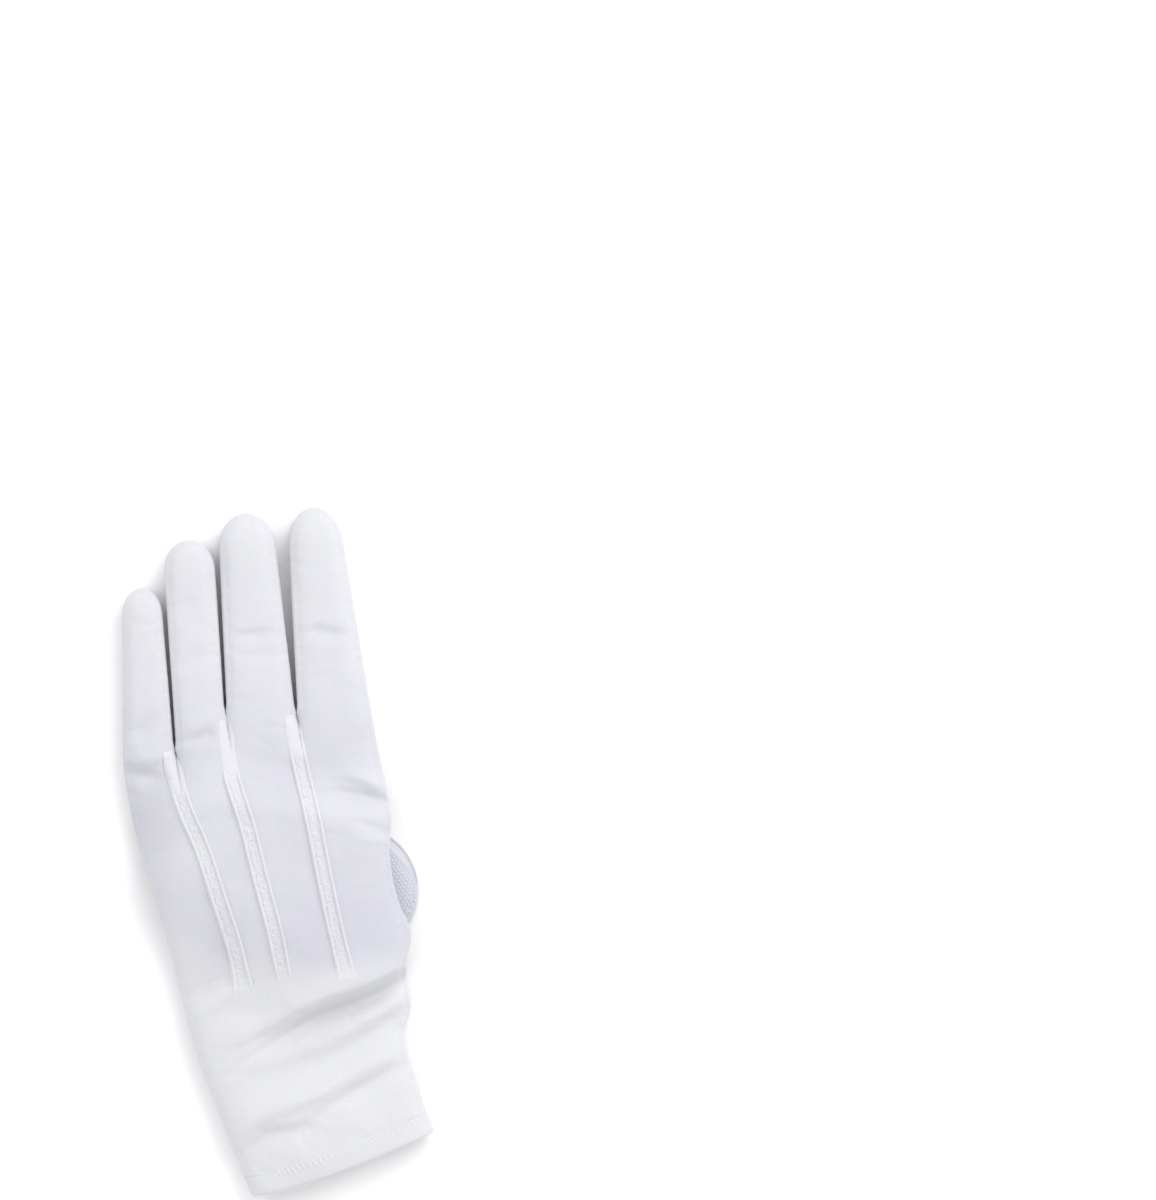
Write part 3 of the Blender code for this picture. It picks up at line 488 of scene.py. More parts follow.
def finger_rows(number):
    finger = dict(zip(FINGER_COLUMNS, FINGERS[number]))
    shares = crotch_shares()[number : number + 2]
    root = np.array([[across(s, root_line(s)), root_line(s)] for s in shares])
    lean = math.radians(finger["lean_deg"])
    ahead, aside = np.array([math.sin(lean), math.cos(lean)]), np.array([math.cos(lean), -math.sin(lean)])
    half = finger["end"] * finger["root"] * PALM_WIDTH / 2
    cap = finger["cap"] * half
    start = root.mean(0) + (finger["length"] - cap) * ahead
    gaps = np.array([number > 0, number < len(FINGERS) - 1]) * FINGER_GAP / 2
    ends = np.array([start - (half - gaps[0]) * aside, start + (half - gaps[1]) * aside])
    inset = np.array([gaps[0] * aside, -gaps[1] * aside])
    rows = []
    for step in np.linspace(0, 1, SHAFT_ROWS + 1) ** 0.9:
        sides = root + (ends - root) * step + inset * (1 - step) * min(1, step * 24)
        rows.append((sides, step * (1 - cap / finger["length"]), 1.0))
    middle = ends.mean(0)
    for angle in np.linspace(0, math.pi / 2, CAP_ROWS + 1)[1:]:
        narrow = math.cos(angle)
        sides = middle + (ends - middle) * narrow + cap * math.sin(angle) * ahead
        rows.append((sides, 1 - (1 - math.sin(angle)) * cap / finger["length"], narrow))
    return rows


def add_finger(grid, number, root_row):
    crown = FINGERS[number][-1] * FINGER_CROWN
    c = finger_sections(FINGER_DIVISIONS)
    left, right, row = [root_row[0]], [root_row[-1]], root_row
    rows = finger_rows(number)
    for sides, share, narrow in rows[1:-1]:
        edges = [fourchette_edge(number, side, share) for side in (-1, 1)]
        plan = sides[0] + (sides[1] - sides[0]) * (c[:, None] + 1) / 2
        edge = edges[0] + (edges[1] - edges[0]) * (c + 1) / 2
        top = narrow * dome(c, FINGER_CROWN_POWER)
        sole = narrow**0.5 * flat_dome(c, FINGER_SOLE_POWER)
        made = grid.vertices(plan[:, 0], plan[:, 1], edge, crown, top, sole, 0.0)
        grid.strip(row, made)
        row = made
        left.append(made[0])
        right.append(made[-1])
    x, y = rows[-1][0][0]
    tip = grid.vertices([x], [y], 0.0, crown, 0.0, 0.0, 0.0)[0]
    grid.strip(row, [tip] * len(row))
    return left, tip, right


def body_facts(share, y):
    share = np.asarray(share, float)
    edges = crotch_shares()
    number = np.clip(np.searchsorted(edges, share, side="right") - 1, 0, len(FINGERS) - 1)
    c = 2 * (share - edges[number]) / (edges[number + 1] - edges[number]) - 1
    sides = np.array([[fourchette_edge(n, side, 0.0) for side in (-1, 1)] for n in range(len(FINGERS))])
    edge = sides[number, 0] + (sides[number, 1] - sides[number, 0]) * (c + 1) / 2
    blend = ease((root_line(share) - y) / ROOT_BLEND)
    wide = 2 * share - 1
    crown = column(FINGERS, FINGER_COLUMNS, "crown")[number] * FINGER_CROWN
    own_top, own_sole = dome(c, FINGER_CROWN_POWER), flat_dome(c, FINGER_SOLE_POWER)
    body_top, body_sole = dome(wide, BODY_CROWN_POWER), flat_dome(wide, BODY_SOLE_POWER)
    return (
        edge * (1 - blend),
        crown + (BODY_CROWN - crown) * blend,
        own_top + (body_top - own_top) * blend,
        own_sole + (body_sole - own_sole) * blend,
    )


def body_steps():
    start = root_line(SLIT_SHARE)
    length = start - hem_edge(SLIT_SHARE) - HEM_WIDTH - CAD_GAP
    inner_end = hem_edge(SLIT_SHARE) + SLIT_LENGTH
    marks = [0, (start - inner_end) / length, (start - inner_end + BINDING_START * SLIT_LENGTH) / length, 1]
    counts = BODY_ROWS, EYELET_ROWS, SLIT_ROWS
    pieces = [np.linspace(a, b, n + 1)[:-1] for a, b, n in zip(marks[:-1], marks[1:], counts)]
    return np.append(np.concatenate(pieces), 1.0)


def row_y(share, step):
    root = root_line(share)
    return root + (hem_edge(share) + HEM_WIDTH + CAD_GAP - root) * step


def flap_climb(share, x, y):
    """How far the flap's lower end climbs to follow the slant of the hem that it laps over."""
    left, right = body_edges(y)
    slant = hem_edge((x - left) / (right - left)) - hem_edge(share)
    return slant * ease(slit_depth(y) / FLAP_CLIMB_END)


def slit_shift(share, cut, y, side):
    left, right = body_edges(y)
    depth = slit_depth(y)
    bound = (BINDING_WIDTH + CAD_GAP) * ease(depth / BINDING_START)
    line, flap = across(cut, y), flap_edge(y) - across(SLIT_SHARE, y)
    if side < 0:
        x = left + share / cut * (line + flap - bound - left)
        return x, y + flap_climb(share, x, y), np.zeros(np.shape(share))
    settled = line + under_edge(y) - across(SLIT_SHARE, y)
    x = settled + (share - cut) / (1 - cut) * (right - settled)
    past = (x - line - flap - LAP_EASE * PALM_WIDTH) / (right - line - flap) * 1.6
    return x, y, LAP_RISE * ease(depth / EYELET_END) * (1 - ease(past))


def glove_grid(slit):
    grid = Grid()
    shares = body_shares(FINGER_DIVISIONS)
    cut = cut_column(shares)
    rows = []
    for number, step in enumerate(body_steps()):
        y = row_y(shares, step)
        facts = body_facts(shares, y)
        if not slit:
            rows.append((grid.vertices(across(shares, y), y, *facts, 0.0), None))
            continue
        split = number > BODY_ROWS
        before, after = slice(0, cut + split), slice(cut, None)
        parts = []
        for side, part in ((-1, before), (1, after)):
            x, climbed, rise = slit_shift(shares[part], shares[cut], y[part], side)
            parts.append(grid.vertices(x, climbed, *(f[part] for f in facts), rise))
        if split:
            grid.slit_sides += [parts[0][-1], parts[1][0]]
            rows.append((parts[0] + parts[1][1:], parts[1][0]))
        else:
            rows.append((parts[0] + parts[1], None))
    for (row, twin), (below, below_twin) in zip(rows[:-1], rows[1:]):
        if below_twin is None:
            grid.strip(below, row)
            continue
        grid.strip(below[: cut + 1], row[: cut + 1])
        grid.strip([below_twin] + below[cut + 1 :], [row[cut] if twin is None else twin] + row[cut + 1 :])
    root = rows[0][0]
    grid.outline = [row[0] for row, _ in rows[:0:-1]]
    for number in range(len(FINGERS)):
        start = number * FINGER_DIVISIONS
        left, tip, right = add_finger(grid, number, root[start : start + FINGER_DIVISIONS + 1])
        grid.tips.append(len(grid.outline) + len(left))
        grid.outline += left + [tip] + right[:0:-1]
    grid.outline += [row[-1] for row, _ in rows]
    grid.hem_row = rows[-1][0] + [rows[-1][1]] * (rows[-1][1] is not None)
    return grid


# Surface detail


def waves(points, size, seed):
    """Soft unevenness from -1 to 1, the same on each run."""
    shift = Vector((seed * 7.31, seed * 3.17, seed * 5.73))
    return np.array([noise.noise(Vector(p) / size + shift) for p in points])


def wrinkles(points):
    """Fine soft creases in mm, mostly across the glove, in some places and not in others."""
    stretched = points / WRINKLE_SIZE
    lines = 1 - np.abs(waves(stretched, 1.0, 8)) / 0.25
    places = ease((waves(points, 0.018, 9) + 0.25) / 0.5)
    return -WRINKLE_DEPTH * np.clip(lines, 0, 1) ** 2 * places


def from_edge(points, outline):
    """Each point's plan distance from a line, and how far along the line its nearest place is."""
    run = run_lengths(outline)
    along = np.arange(0, run[-1], EDGE_STEP)
    tree = tree_of(np.column_stack([np.interp(along, run, outline[:, k]) for k in range(2)] + [0 * along]))
    found = [tree.find((p[0], p[1], 0)) for p in points]
    return np.array([f[2] for f in found]), along[[f[1] for f in found]]


def seam_relief(distance, along):
    """The rolled edge of a seam, the pull beside it and the small puckers that its stitches make."""
    roll = 0.30 * bell((distance / MM - 0.75) / 0.45)
    pull = -0.20 * bell((distance / MM - 1.8) / 0.6)
    wander = np.sin(along / (3.1 * MM)) + np.sin(along / (7.3 * MM) + 1.7)
    puckers = 0.16 * np.sin(along / (0.52 * MM) + 2 * wander) * bell((distance / MM - 1.9) / 1.2)
    return MM * (roll + pull + puckers) * ease(distance / (0.4 * MM))


def vertex_normals(points, faces):
    normals = np.zeros_like(points)
    for corners in (4, 3):
        block = np.array([f for f in faces if len(f) == corners], int).reshape(-1, corners)
        first = points[block[:, 0]]
        for i in range(1, corners - 1):
            normal = np.cross(points[block[:, i]] - first, points[block[:, i + 1]] - first)
            for k in range(corners):
                np.add.at(normals, block[:, k], normal)
    return unit(normals)


# Making objects


def shift_to_frame():
    """From the outline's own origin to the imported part's."""
    low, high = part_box("snap_cap")
    centre = snap_centre()
    return Vector(((low[0] + high[0]) / 2 - centre[0], (low[1] + high[1]) / 2 - centre[1], 0))


SHIFT = np.array(shift_to_frame())


def placed(name, data):
    made = bpy.data.objects.new(name, data)
    bpy.context.scene.collection.objects.link(made)
    return made


def make_piece(name, points, faces, material, replaces=(), smooth=80):
    mesh = bpy.data.meshes.new(name)
    mesh.from_pydata((np.asarray(points) + SHIFT).tolist(), [], [tuple(int(i) for i in f) for f in faces])
    mesh.validate()
    mesh.update()
    mesh.shade_smooth()
    mesh.set_sharp_from_angle(angle=math.radians(smooth))
    obj = placed(name, mesh)
    mesh.materials.append(material)
    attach(obj, "root")
    if replaces:
        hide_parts(*replaces)
    return obj


def wall_between(faces, outer, inner):
    """Points and faces of a closed wall between two skins."""
    count = len(outer)
    directed = {(a, b) for face in faces for a, b in zip(face, face[1:] + face[:1])}
    rim = [(b, a, a + count, b + count) for a, b in directed if (b, a) not in directed]
    rim.sort()
    turned = [tuple(i + count for i in reversed(face)) for face in faces]
    return np.vstack([outer, inner]), list(faces) + turned + rim


# Materials


BUMP_HEIGHT = 0.0002
KNIT_ANGLE = 4

# Where the cloth's painted shade on the back of the hand starts at the wrist and ends at the fingers, in the
# frame's Y plus
# FADE_SWAY times a noise of about a half, which makes both edges uneven
FADE_SWAY = 0.08
WRIST_FADE = -0.012, 0.018
FINGER_FADE = 0.118, 0.066


def new_material(name, values):
    """A material with its shader's own values set, its node tree and its shader."""
    made = bpy.data.materials.new(name)
    made.use_nodes = True
    shader = made.node_tree.nodes["Principled BSDF"]
    for socket, value in values.items():
        shader.inputs[socket].default_value = value
    return made, made.node_tree, shader


def node(tree, kind, values=(), feeds=(), **settings):
    """A new shader node with its settings, its sockets' values and the outputs that feed it."""
    made = tree.nodes.new("ShaderNode" + kind)
    for name, value in settings.items():
        setattr(made, name, value)
    for socket, value in dict(values).items():
        made.inputs[socket].default_value = value
    for socket, source in dict(feeds).items():
        tree.links.new(source, made.inputs[socket])
    return made


def dress(tree, shader, colour, height, strength):
    """Gives a shader its colour and its relief."""
    tree.links.new(colour.outputs["Result"], shader.inputs["Base Color"])
    relief = node(tree, "Bump", {"Strength": strength, "Distance": BUMP_HEIGHT}, {"Height": height})
    tree.links.new(relief.outputs["Normal"], shader.inputs["Normal"])


def cloth_material(name, colour, painted_shade, knit, bump, grain):
    """White cloth: a fine knit, a soft sheen, an uneven tone and painted shade that makes it greyest on the
    back of the hand.
    """
    sheen = {"Sheen Weight": 0.12, "Sheen Roughness": 0.45}
    made, tree, shader = new_material(name, {"Roughness": 0.82, "Specular IOR Level": 0.25, **sheen})
    coords = node(tree, "TexCoord").outputs["Object"]
    patches = node(tree, "TexNoise", {"Scale": 17, "Detail": 2}, {"Vector": coords}).outputs["Fac"]
    threads = node(tree, "TexNoise", {"Scale": 1500, "Detail": 2}, {"Vector": coords})
    tone = node(tree, "MapRange", {"From Min": 0.33, "From Max": 0.62, "To Min": 0.45}, {"Value": patches})
    along = node(tree, "SeparateXYZ", (), {"Vector": coords}).outputs["Y"]
    swayed = node(tree, "Math", {1: FADE_SWAY}, {0: patches, 2: along}, operation="MULTIPLY_ADD")
    # Painted shade: the wrist and finger fades keep the darker second colour to the back of the hand, in
    # uneven patches
    for start, end, least in ((*WRIST_FADE, 0.0), (*FINGER_FADE, 0.35)):
        ends = {"From Min": start, "From Max": end, "To Min": least}
        fade = node(tree, "MapRange", ends, {"Value": swayed.outputs[0]}, interpolation_type="SMOOTHSTEP")
        tone = node(tree, "Math", (), {0: tone.outputs[0], 1: fade.outputs[0]}, operation="MULTIPLY")
    tones = {"A": (*colour, 1), "B": (*painted_shade, 1)}
    mix = node(tree, "Mix", tones, {"Factor": tone.outputs[0]}, data_type="RGBA")
    feeds = {"A": mix.outputs["Result"], "B": threads.outputs["Color"]}
    fleck = node(tree, "Mix", {"Factor": grain}, feeds, data_type="RGBA", blend_type="MULTIPLY")
    waves_of = []
    for angle, scale in ((KNIT_ANGLE, 0.72 * knit), (KNIT_ANGLE + 90, knit)):
        turn = node(tree, "Mapping", {"Rotation": (0, 0, math.radians(angle))}, {"Vector": coords})
        wave = {"Scale": scale, "Distortion": 1.2, "Detail": 1}
        waves_of.append(node(tree, "TexWave", wave, {"Vector": turn.outputs["Vector"]}).outputs["Fac"])
    weave = node(tree, "Math", (), dict(enumerate(waves_of)), operation="MULTIPLY").outputs[0]
    raised = node(tree, "Math", {1: 0.5}, {0: threads.outputs["Fac"], 2: weave}, operation="MULTIPLY_ADD")
    dress(tree, shader, fleck, raised.outputs[0], bump)
    return made


def plastic_material():
    """Satin white plastic with faint moulding unevenness."""
    made, tree, shader = new_material("snap_plastic", {"IOR": 1.49})
    coords = node(tree, "TexCoord").outputs["Object"]
    grain = node(tree, "TexNoise", {"Scale": 260}, {"Vector": coords}).outputs["Fac"]
    tone = node(tree, "MapRange", {"To Min": 0.34, "To Max": 0.52}, {"Value": grain})
    tree.links.new(tone.outputs["Result"], shader.inputs["Roughness"])
    tones = {"A": (0.70, 0.71, 0.75, 1), "B": (0.76, 0.77, 0.80, 1)}
    mix = node(tree, "Mix", tones, {"Factor": grain}, data_type="RGBA")
    dress(tree, shader, mix, grain, 0.06)
    return made


# Each cloth's second colour is painted shade, laid on the back of the hand in uneven patches
SMOOTH = cloth_material("smooth_cloth", (0.77, 0.775, 0.80), (0.655, 0.655, 0.722), 1250, 0.36, 0.16)
DOTTED = cloth_material("dotted_cloth", (0.67, 0.685, 0.73), (0.62, 0.63, 0.69), 900, 0.30, 0.12)
# The trim is paler than the plain cloth and has a paler painted shade: a painted highlight for the light on
# the raised points' ridges
TRIM = cloth_material("trim_cloth", (0.79, 0.80, 0.815), (0.735, 0.735, 0.78), 1600, 0.40, 0.10)
THREAD = cloth_material("thread", (0.82, 0.83, 0.84), (0.77, 0.78, 0.80), 2600, 0.5, 0.10)
DOTS = cloth_material("grip_dots", (0.77, 0.78, 0.805), (0.73, 0.74, 0.775), 1200, 0.06, 0.03)
PLASTIC = plastic_material()


# Panels


def panel(name, grid, back, material, part):
    outer = grid.heights(back)
    faces = grid.faces if back else [tuple(reversed(face)) for face in grid.faces]
    normals = vertex_normals(outer, faces)
    normals[grid.outline] = grid.outward()
    normals[grid.hem_row, 1] = 0
    normals[grid.slit_sides, 0] = 0
    normals = unit(normals)
    inner = outer - WALL * normals
    distance, along = from_edge(outer, outer[grid.outline, :2])
    sag = 0.45 * waves(outer, 0.030, 3) + 0.30 * waves(outer, 0.013, 1 if back else 2)
    sag = sag + 0.10 * waves(outer, 0.005, 4)
    relief = seam_relief(distance, along) + MM * (sag + wrinkles(outer)) * ease(distance / (3 * MM))
    if not back:
        relief = np.minimum(relief, 0.0) * (outer[:, 2] > 0.0008)
    shown = outer + normals * relief[:, None]
    points, faces = wall_between(faces, shown, inner)
    return make_piece(name, points, faces, material, [part], smooth=70)


def fourchettes(grid):
    table = grid.table()[grid.outline]
    plan, edges = table[:, :2], table[:, 2]
    outward = grid.outward()[:, :2]
    names = ("fourchette_little_ring", "fourchette_ring_middle", "fourchette_middle_index")
    for name, tip, next_tip in zip(names, grid.tips[:-1], grid.tips[1:]):
        run = np.arange(tip, next_tip)[edges[tip:next_tip] > 0]
        level = seam_level(*plan[run].T)
        columns = np.linspace(-1, 1, 7)
        count = len(run)
        outer, inner = [], []
        for c in columns:
            tuck = 0.00035 * (abs(c) ** 4) + 0.00008 * np.sin(np.arange(count) * 0.9)
            z = level + c * (edges[run] - SEAM_GAP / 2)
            outer.append(np.column_stack([plan[run] - tuck[:, None] * outward[run], z]))
            inner.append(np.column_stack([plan[run] - WALL * outward[run], z]))
        faces = sheet(len(columns), count, (1, 0, 2, 3))
        points, faces = wall_between(faces, np.vstack(outer), np.vstack(inner))
        make_piece(f"{name}_strip", points, faces, SMOOTH, [name], smooth=60)


# Threads


def stitches(centres, alongs, ups, length, width, height):
    """Points and faces of small rounded threads, each lying along its own direction."""
    points, faces = [], []
    shape = [(r, math.sqrt(1 - r * r * 0.55) / 2 if abs(r) < 1 else 0) for r in (-1, -0.72, 0, 0.72, 1)]
    profile = [(width * swell, height * swell, r * length / 2) for r, swell in shape]
    for centre, along, up in zip(centres, unit(alongs), ups):
        side = unit(np.cross(up, along))
        turn(points, faces, centre, (side, np.cross(along, side), along), profile, THREAD_SIDES)
    return points, faces


def along_path(path, pitch):
    """Places and directions a pitch apart on a path of points."""
    path = np.asarray(path)
    lengths = run_lengths(path)
    at = np.arange(pitch / 2, lengths[-1], pitch)
    places, ahead, behind = (
        np.column_stack([np.interp(at + pitch * step, lengths, path[:, k]) for k in range(3)])
        for step in (0, 0.2, -0.2)
    )
    return places, ahead - behind


def joined(parts):
    """One set of points and faces from several."""
    points, faces = [], []
    for some_points, some_faces in parts:
        start = len(points)
        points += [tuple(p) for p in some_points]
        faces += [tuple(i + start for i in face) for face in some_faces]
    return points, faces


# Raised points


def body_top(x, y):
    """z of the back at any place on the body."""
    left, right = body_edges(y)
    share = np.clip((x - left) / (right - left), 0, 1)
    edge, crown, top, _ = body_facts(share, y)
    return back_height(x, y, edge, crown, top)


def point_path(point):
    """Shares along a raised point, the x and y of its middle and its half-width."""
    top = root_line(crotch_shares()[point["crotch"]]) - POINT_START
    bottom = point["along"] * PALM_LENGTH
    t = np.linspace(0, 1, POINT_STATIONS)
    middles = np.array(point["middles"]) * PALM_WIDTH
    x = through(t, np.linspace(0, 1, len(middles)), middles)
    half = POINT_WIDTH / 2 * (0.38 + 0.62 * np.sqrt(np.clip(t / 0.07, 0, 1)))
    return t, x, top + (bottom - top) * t, half * (1 + (point["flare"] - 1) * ease((t - 0.85) / 0.15))


def raised_point(point):
    """Two rolled ridges with a knobbly sunk band between them, smooth and full at the crotch end."""
    t, x, y, half = point_path(point)
    section = np.linspace(-1, 1, 37)
    px = x[:, None] + half[:, None] * section
    py = y[:, None] + 0 * section

    def at_height(z):
        return np.column_stack([px.ravel(), py.ravel(), z.ravel()])

    ridge = bell((np.abs(section) - 0.78) / 0.17)
    groove = bell((np.abs(section) - 0.50) / 0.09)
    side = np.sqrt(np.clip((1 - np.abs(section)) / 0.20, 0, 1))
    u, v = py / (1.9 * MM), px / (1.9 * MM)
    knobs = np.sin(2 * math.pi * (u + v)) * np.sin(2 * math.pi * (u - v))
    uneven = waves(at_height(0 * px), 0.0011, 6).reshape(px.shape)
    inside = 1 - ease((np.abs(section) - 0.45) / 0.12)
    band = 0.32 + 0.64 * ridge - 0.18 * groove + (0.13 * knobs + 0.26 * uneven) * (0.35 + 0.65 * inside)
    full = 0.55 * (1 - np.abs(section) ** 3) + 0.14 + 0.05 * uneven
    open_share = ease((t - point["wedge"]) / 0.05)
    ends = ease((1 - t) / 0.10) * ease((t + 0.004) / 0.045)
    height = (full + (band - full) * open_share[:, None]) * side * ends[:, None] * POINT_HEIGHT
    seat = body_top(px, py)
    height = height - (0.30 * MM * ease((t - 0.93) / 0.07))[:, None]
    top, base = at_height(seat + height), at_height(seat - 0.35 * MM)
    points, faces = wall_between(sheet(len(t), len(section), (0, 2, 3, 1)), top, base)
    make_piece(f"{point['name']}_tuck", points, faces, TRIM, [point["name"]])


# Hem


def ring_point(share, kind, y, cut):
    edge, crown, top, sole = body_facts(share, y)
    x = across(share, y)
    if kind == "side":
        return x, y, seam_level(x, y)
    if kind == "back":
        return x, y, back_height(x, y, edge, crown, top)
    if kind == "flap":
        left = body_edges(y)[0]
        end = across(cut, y) - across(SLIT_SHARE, y) + flap_edge(y)
        x, rise = left + share / cut * (end - left), 0.0
        y = y + flap_climb(share, x, y)
    else:
        x, y, rise = slit_shift(np.array(share), cut, y, 1)
    return float(x), y, float(palm_height(x, y, edge, sole, rise))


def hem_ring():
    shares = body_shares(FINGER_DIVISIONS)
    cut = cut_column(shares)
    ring = [(s, "flap") for s in shares[cut:0:-1]] + [(0.0, "side")]
    ring += [(s, "back") for s in shares[1:-1]] + [(1.0, "side")]
    ring += [(s, "under") for s in shares[-2 : cut - 1 : -1]]
    return ring, shares[cut]


def hem():
    """The doubled band, slightly puffed between its folded edge and its stitched one."""
    ring, cut = hem_ring()
    steps = np.concatenate([[1.07, 1.02, 0.985, 0.95], np.linspace(0.91, 0.14, HEM_ROWS), [0.06, 0.015, 0.0]])
    puff = MM * np.array([-0.40, -0.12, 0.10, -0.04] + [0.16] + [0.24] * (HEM_ROWS - 1) + [0.08, -0.1, -0.4])
    rows = np.array([
        [ring_point(s, kind, hem_edge(s) + HEM_WIDTH * step, cut) for s, kind in ring] for step in steps
    ], float)
    known = np.arange(rows.shape[1])
    fine = np.linspace(0, known[-1], HEM_REFINE * known[-1] + 1)
    rows = np.array([[np.interp(fine, known, row[:, k]) for k in range(3)] for row in rows]).swapaxes(1, 2)
    normals = unit(np.cross(np.gradient(rows, axis=1), [0, 1, 0]))
    lengths = run_lengths(rows[0])
    phase = lengths / (1.9 * MM) * 2 * math.pi + 2.2 * np.sin(lengths / (5 * MM)) + 5 * steps[:, None]
    uneven = 0.55 + 0.45 * np.sin(lengths / (3.7 * MM) + 2 * np.sin(lengths / (8 * MM)))
    pucker = 0.15 * MM * uneven * np.sin(phase) * bell((steps - 0.84) / 0.14)[:, None]
    swell = HEM_PROUD * 0.75 + puff[:, None] + pucker
    count = rows.shape[1]
    outer = (rows + swell[:, :, None] * normals).reshape(-1, 3)
    inner = (rows - (WALL + HEM_PROUD + 0.5 * puff[:, None, None]) * normals).reshape(-1, 3)
    outer[:, 2] = np.maximum(outer[:, 2], 0.00002)
    points, faces = wall_between(sheet(len(rows), count, (0, 2, 3, 1)), outer, inner)
    make_piece("hem_band", points, faces, SMOOTH, ["cuff_hem"], smooth=75)
    seam = int(np.argmin(np.abs(steps - 0.95)))
    line = rows[seam] + 0.20 * MM * normals[seam]
    places, directions = along_path(line, 1.9 * MM)
    tree = tree_of(line)
    ups = [normals[seam][tree.find(p)[1]] for p in places]
    return stitches(places, directions, ups, 1.35 * MM, 0.38 * MM, 0.24 * MM)


# Slit


def binding():
    """A folded strip on the outer flap's edge, sewn down along its inner side."""
    shares = body_shares(FINGER_DIVISIONS)
    cut = shares[cut_column(shares)]
    section = np.array([-1, -0.96, -0.85, -0.7, -0.35, 0, 0.35, 0.7, 0.88, 0.97, 1])
    puff = 0.00028 * (1 - np.abs(section) ** 2.6)
    rows, seam = [], []
    for step in body_steps()[BODY_ROWS + EYELET_ROWS :]:
        y = row_y(cut, step)
        edge = across(cut, y) - across(SLIT_SHARE, y) + flap_edge(y)
        y = y + flap_climb(cut, edge, y)
        x = edge + BINDING_WIDTH * (section - 1) / 2
        z = palm_height(x, np.full(len(x), y), 0.0, 1.0)
        rows.append(np.column_stack([x, np.full(len(x), y), z]))
        seam.append(rows[-1][2])
    top = np.array(rows)
    outer = top - np.array([0, 0, 1]) * (0.00002 + puff)[None, :, None]
    outer[:, :, 2] = np.maximum(outer[:, :, 2], 0.00002)
    inner = top + np.array([0, 0, 1]) * (WALL + HEM_PROUD)
    faces = sheet(len(rows), len(section), (0, 1, 3, 2))
    points, faces = wall_between(faces, outer.reshape(-1, 3), inner.reshape(-1, 3))
    make_piece("slit_binding_strip", points, faces, TRIM, ["slit_binding"], smooth=75)
    places, directions = along_path(np.array(seam) - [0, 0, 0.00024], 0.0022)
    return stitches(places, directions, [[0, 0, -1]] * len(places), 1.6 * MM, 0.36 * MM, 0.26 * MM)


# Thumb


def thumb_rows(shaft):
    base, tip, direction = thumb_axis()
    radii = THUMB_BASE_WIDTH / 2, THUMB_TIP_WIDTH / 2
    rows = [(base - radii[0] * math.sin(a) * direction, radii[0] * math.cos(a), math.cos(a))
            for a in np.linspace(math.pi / 2, 0, 3 * CAP_ROWS)]
    rows += [(base + (tip - base) * t, radii[0] + (radii[1] - radii[0]) * t, 1.0)
             for t in np.linspace(0, 1, shaft + 1)[1:]]
    rows += [(tip + radii[1] * math.sin(a) * direction, radii[1] * math.cos(a), math.cos(a))
             for a in np.linspace(0, math.pi / 2, CAP_ROWS + 1)[1:]]
    return rows, direction


def thumb_rim(y):
    """Width of the smooth cloth that wraps over the thumb's edge next to its crotch."""
    return THUMB_RIM * ease((y - THUMB_ALONG * PALM_LENGTH + THUMB_RIM_START) / THUMB_RIM_RISE)


def thumb_half(name, upper, material, part):
    rows, direction = thumb_rows(60)
    aside = np.array([direction[1], -direction[0]])
    sections = finger_sections(56)
    crown = THUMB_HEIGHT - THUMB_SEAM_HEIGHT if upper else THUMB_SEAM_HEIGHT
    power = THUMB_CROWN_POWER if upper else THUMB_SOLE_POWER
    sign = 1 if upper else -1
    start, rise = THUMB_SEAM_HEIGHT + sign * SEAM_GAP / 2, sign * (crown - SEAM_GAP / 2)
    grid, made_rows = Grid(), []
    for middle, half, narrow in rows:
        if narrow < 1e-6:
            made_rows.append(grid.vertices([middle[0]], [middle[1]], 0.0) * len(sections))
            continue
        plan = middle + sections[:, None] * half * aside
        shape = math.sqrt(narrow) * dome(sections, power)
        made_rows.append(grid.vertices(plan[:, 0], plan[:, 1], shape))
    for row, ahead in zip(made_rows[:-1], made_rows[1:]):
        grid.strip(row, ahead)
    inside = made_rows[1:-1]
    loop = [made_rows[0][0]] + [row[0] for row in inside] + [made_rows[-1][0]]
    loop += [row[-1] for row in reversed(inside)]
    table = grid.table()
    outer = np.column_stack([table[:, :2], start + rise * table[:, 2]])
    faces = grid.faces if upper else [tuple(reversed(face)) for face in grid.faces]
    normals = vertex_normals(outer, faces)
    closed = table[loop, :2]
    normals[loop] = sideways(np.roll(closed, -1, axis=0) - np.roll(closed, 1, axis=0))
    ring = np.vstack([closed, closed[:1]])
    distance, along = from_edge(outer, ring)
    sag = 0.25 * MM * waves(outer, 0.010, 5) * ease(distance / (4 * MM))
    rim = thumb_rim(outer[:, 1])
    if upper:
        seam = 0.34 * bell((distance - rim) / (0.5 * MM)) * (rim > 0.6 * MM)
        relief = np.minimum(seam_relief(distance, along) * (rim < 0.6 * MM) + sag, 0.12 * MM) + MM * seam
        relief = relief - THUMB_CURL * ease((rim - distance) / rim.clip(MM)) * (rim > 0.6 * MM)
    else:
        relief = np.minimum(seam_relief(distance, along) + sag, 0) * (outer[:, 2] > 0.8 * MM)
    points, closed_faces = wall_between(faces, outer + normals * relief[:, None], outer - WALL * normals)
    made = make_piece(name, points, closed_faces, material, [part], smooth=70)
    if upper:
        made.data.materials.append(SMOOTH)
        past = distance < rim
        for index, face in enumerate(faces):
            made.data.polygons[index].material_index = int(all(past[i] for i in face))
    return made, ring


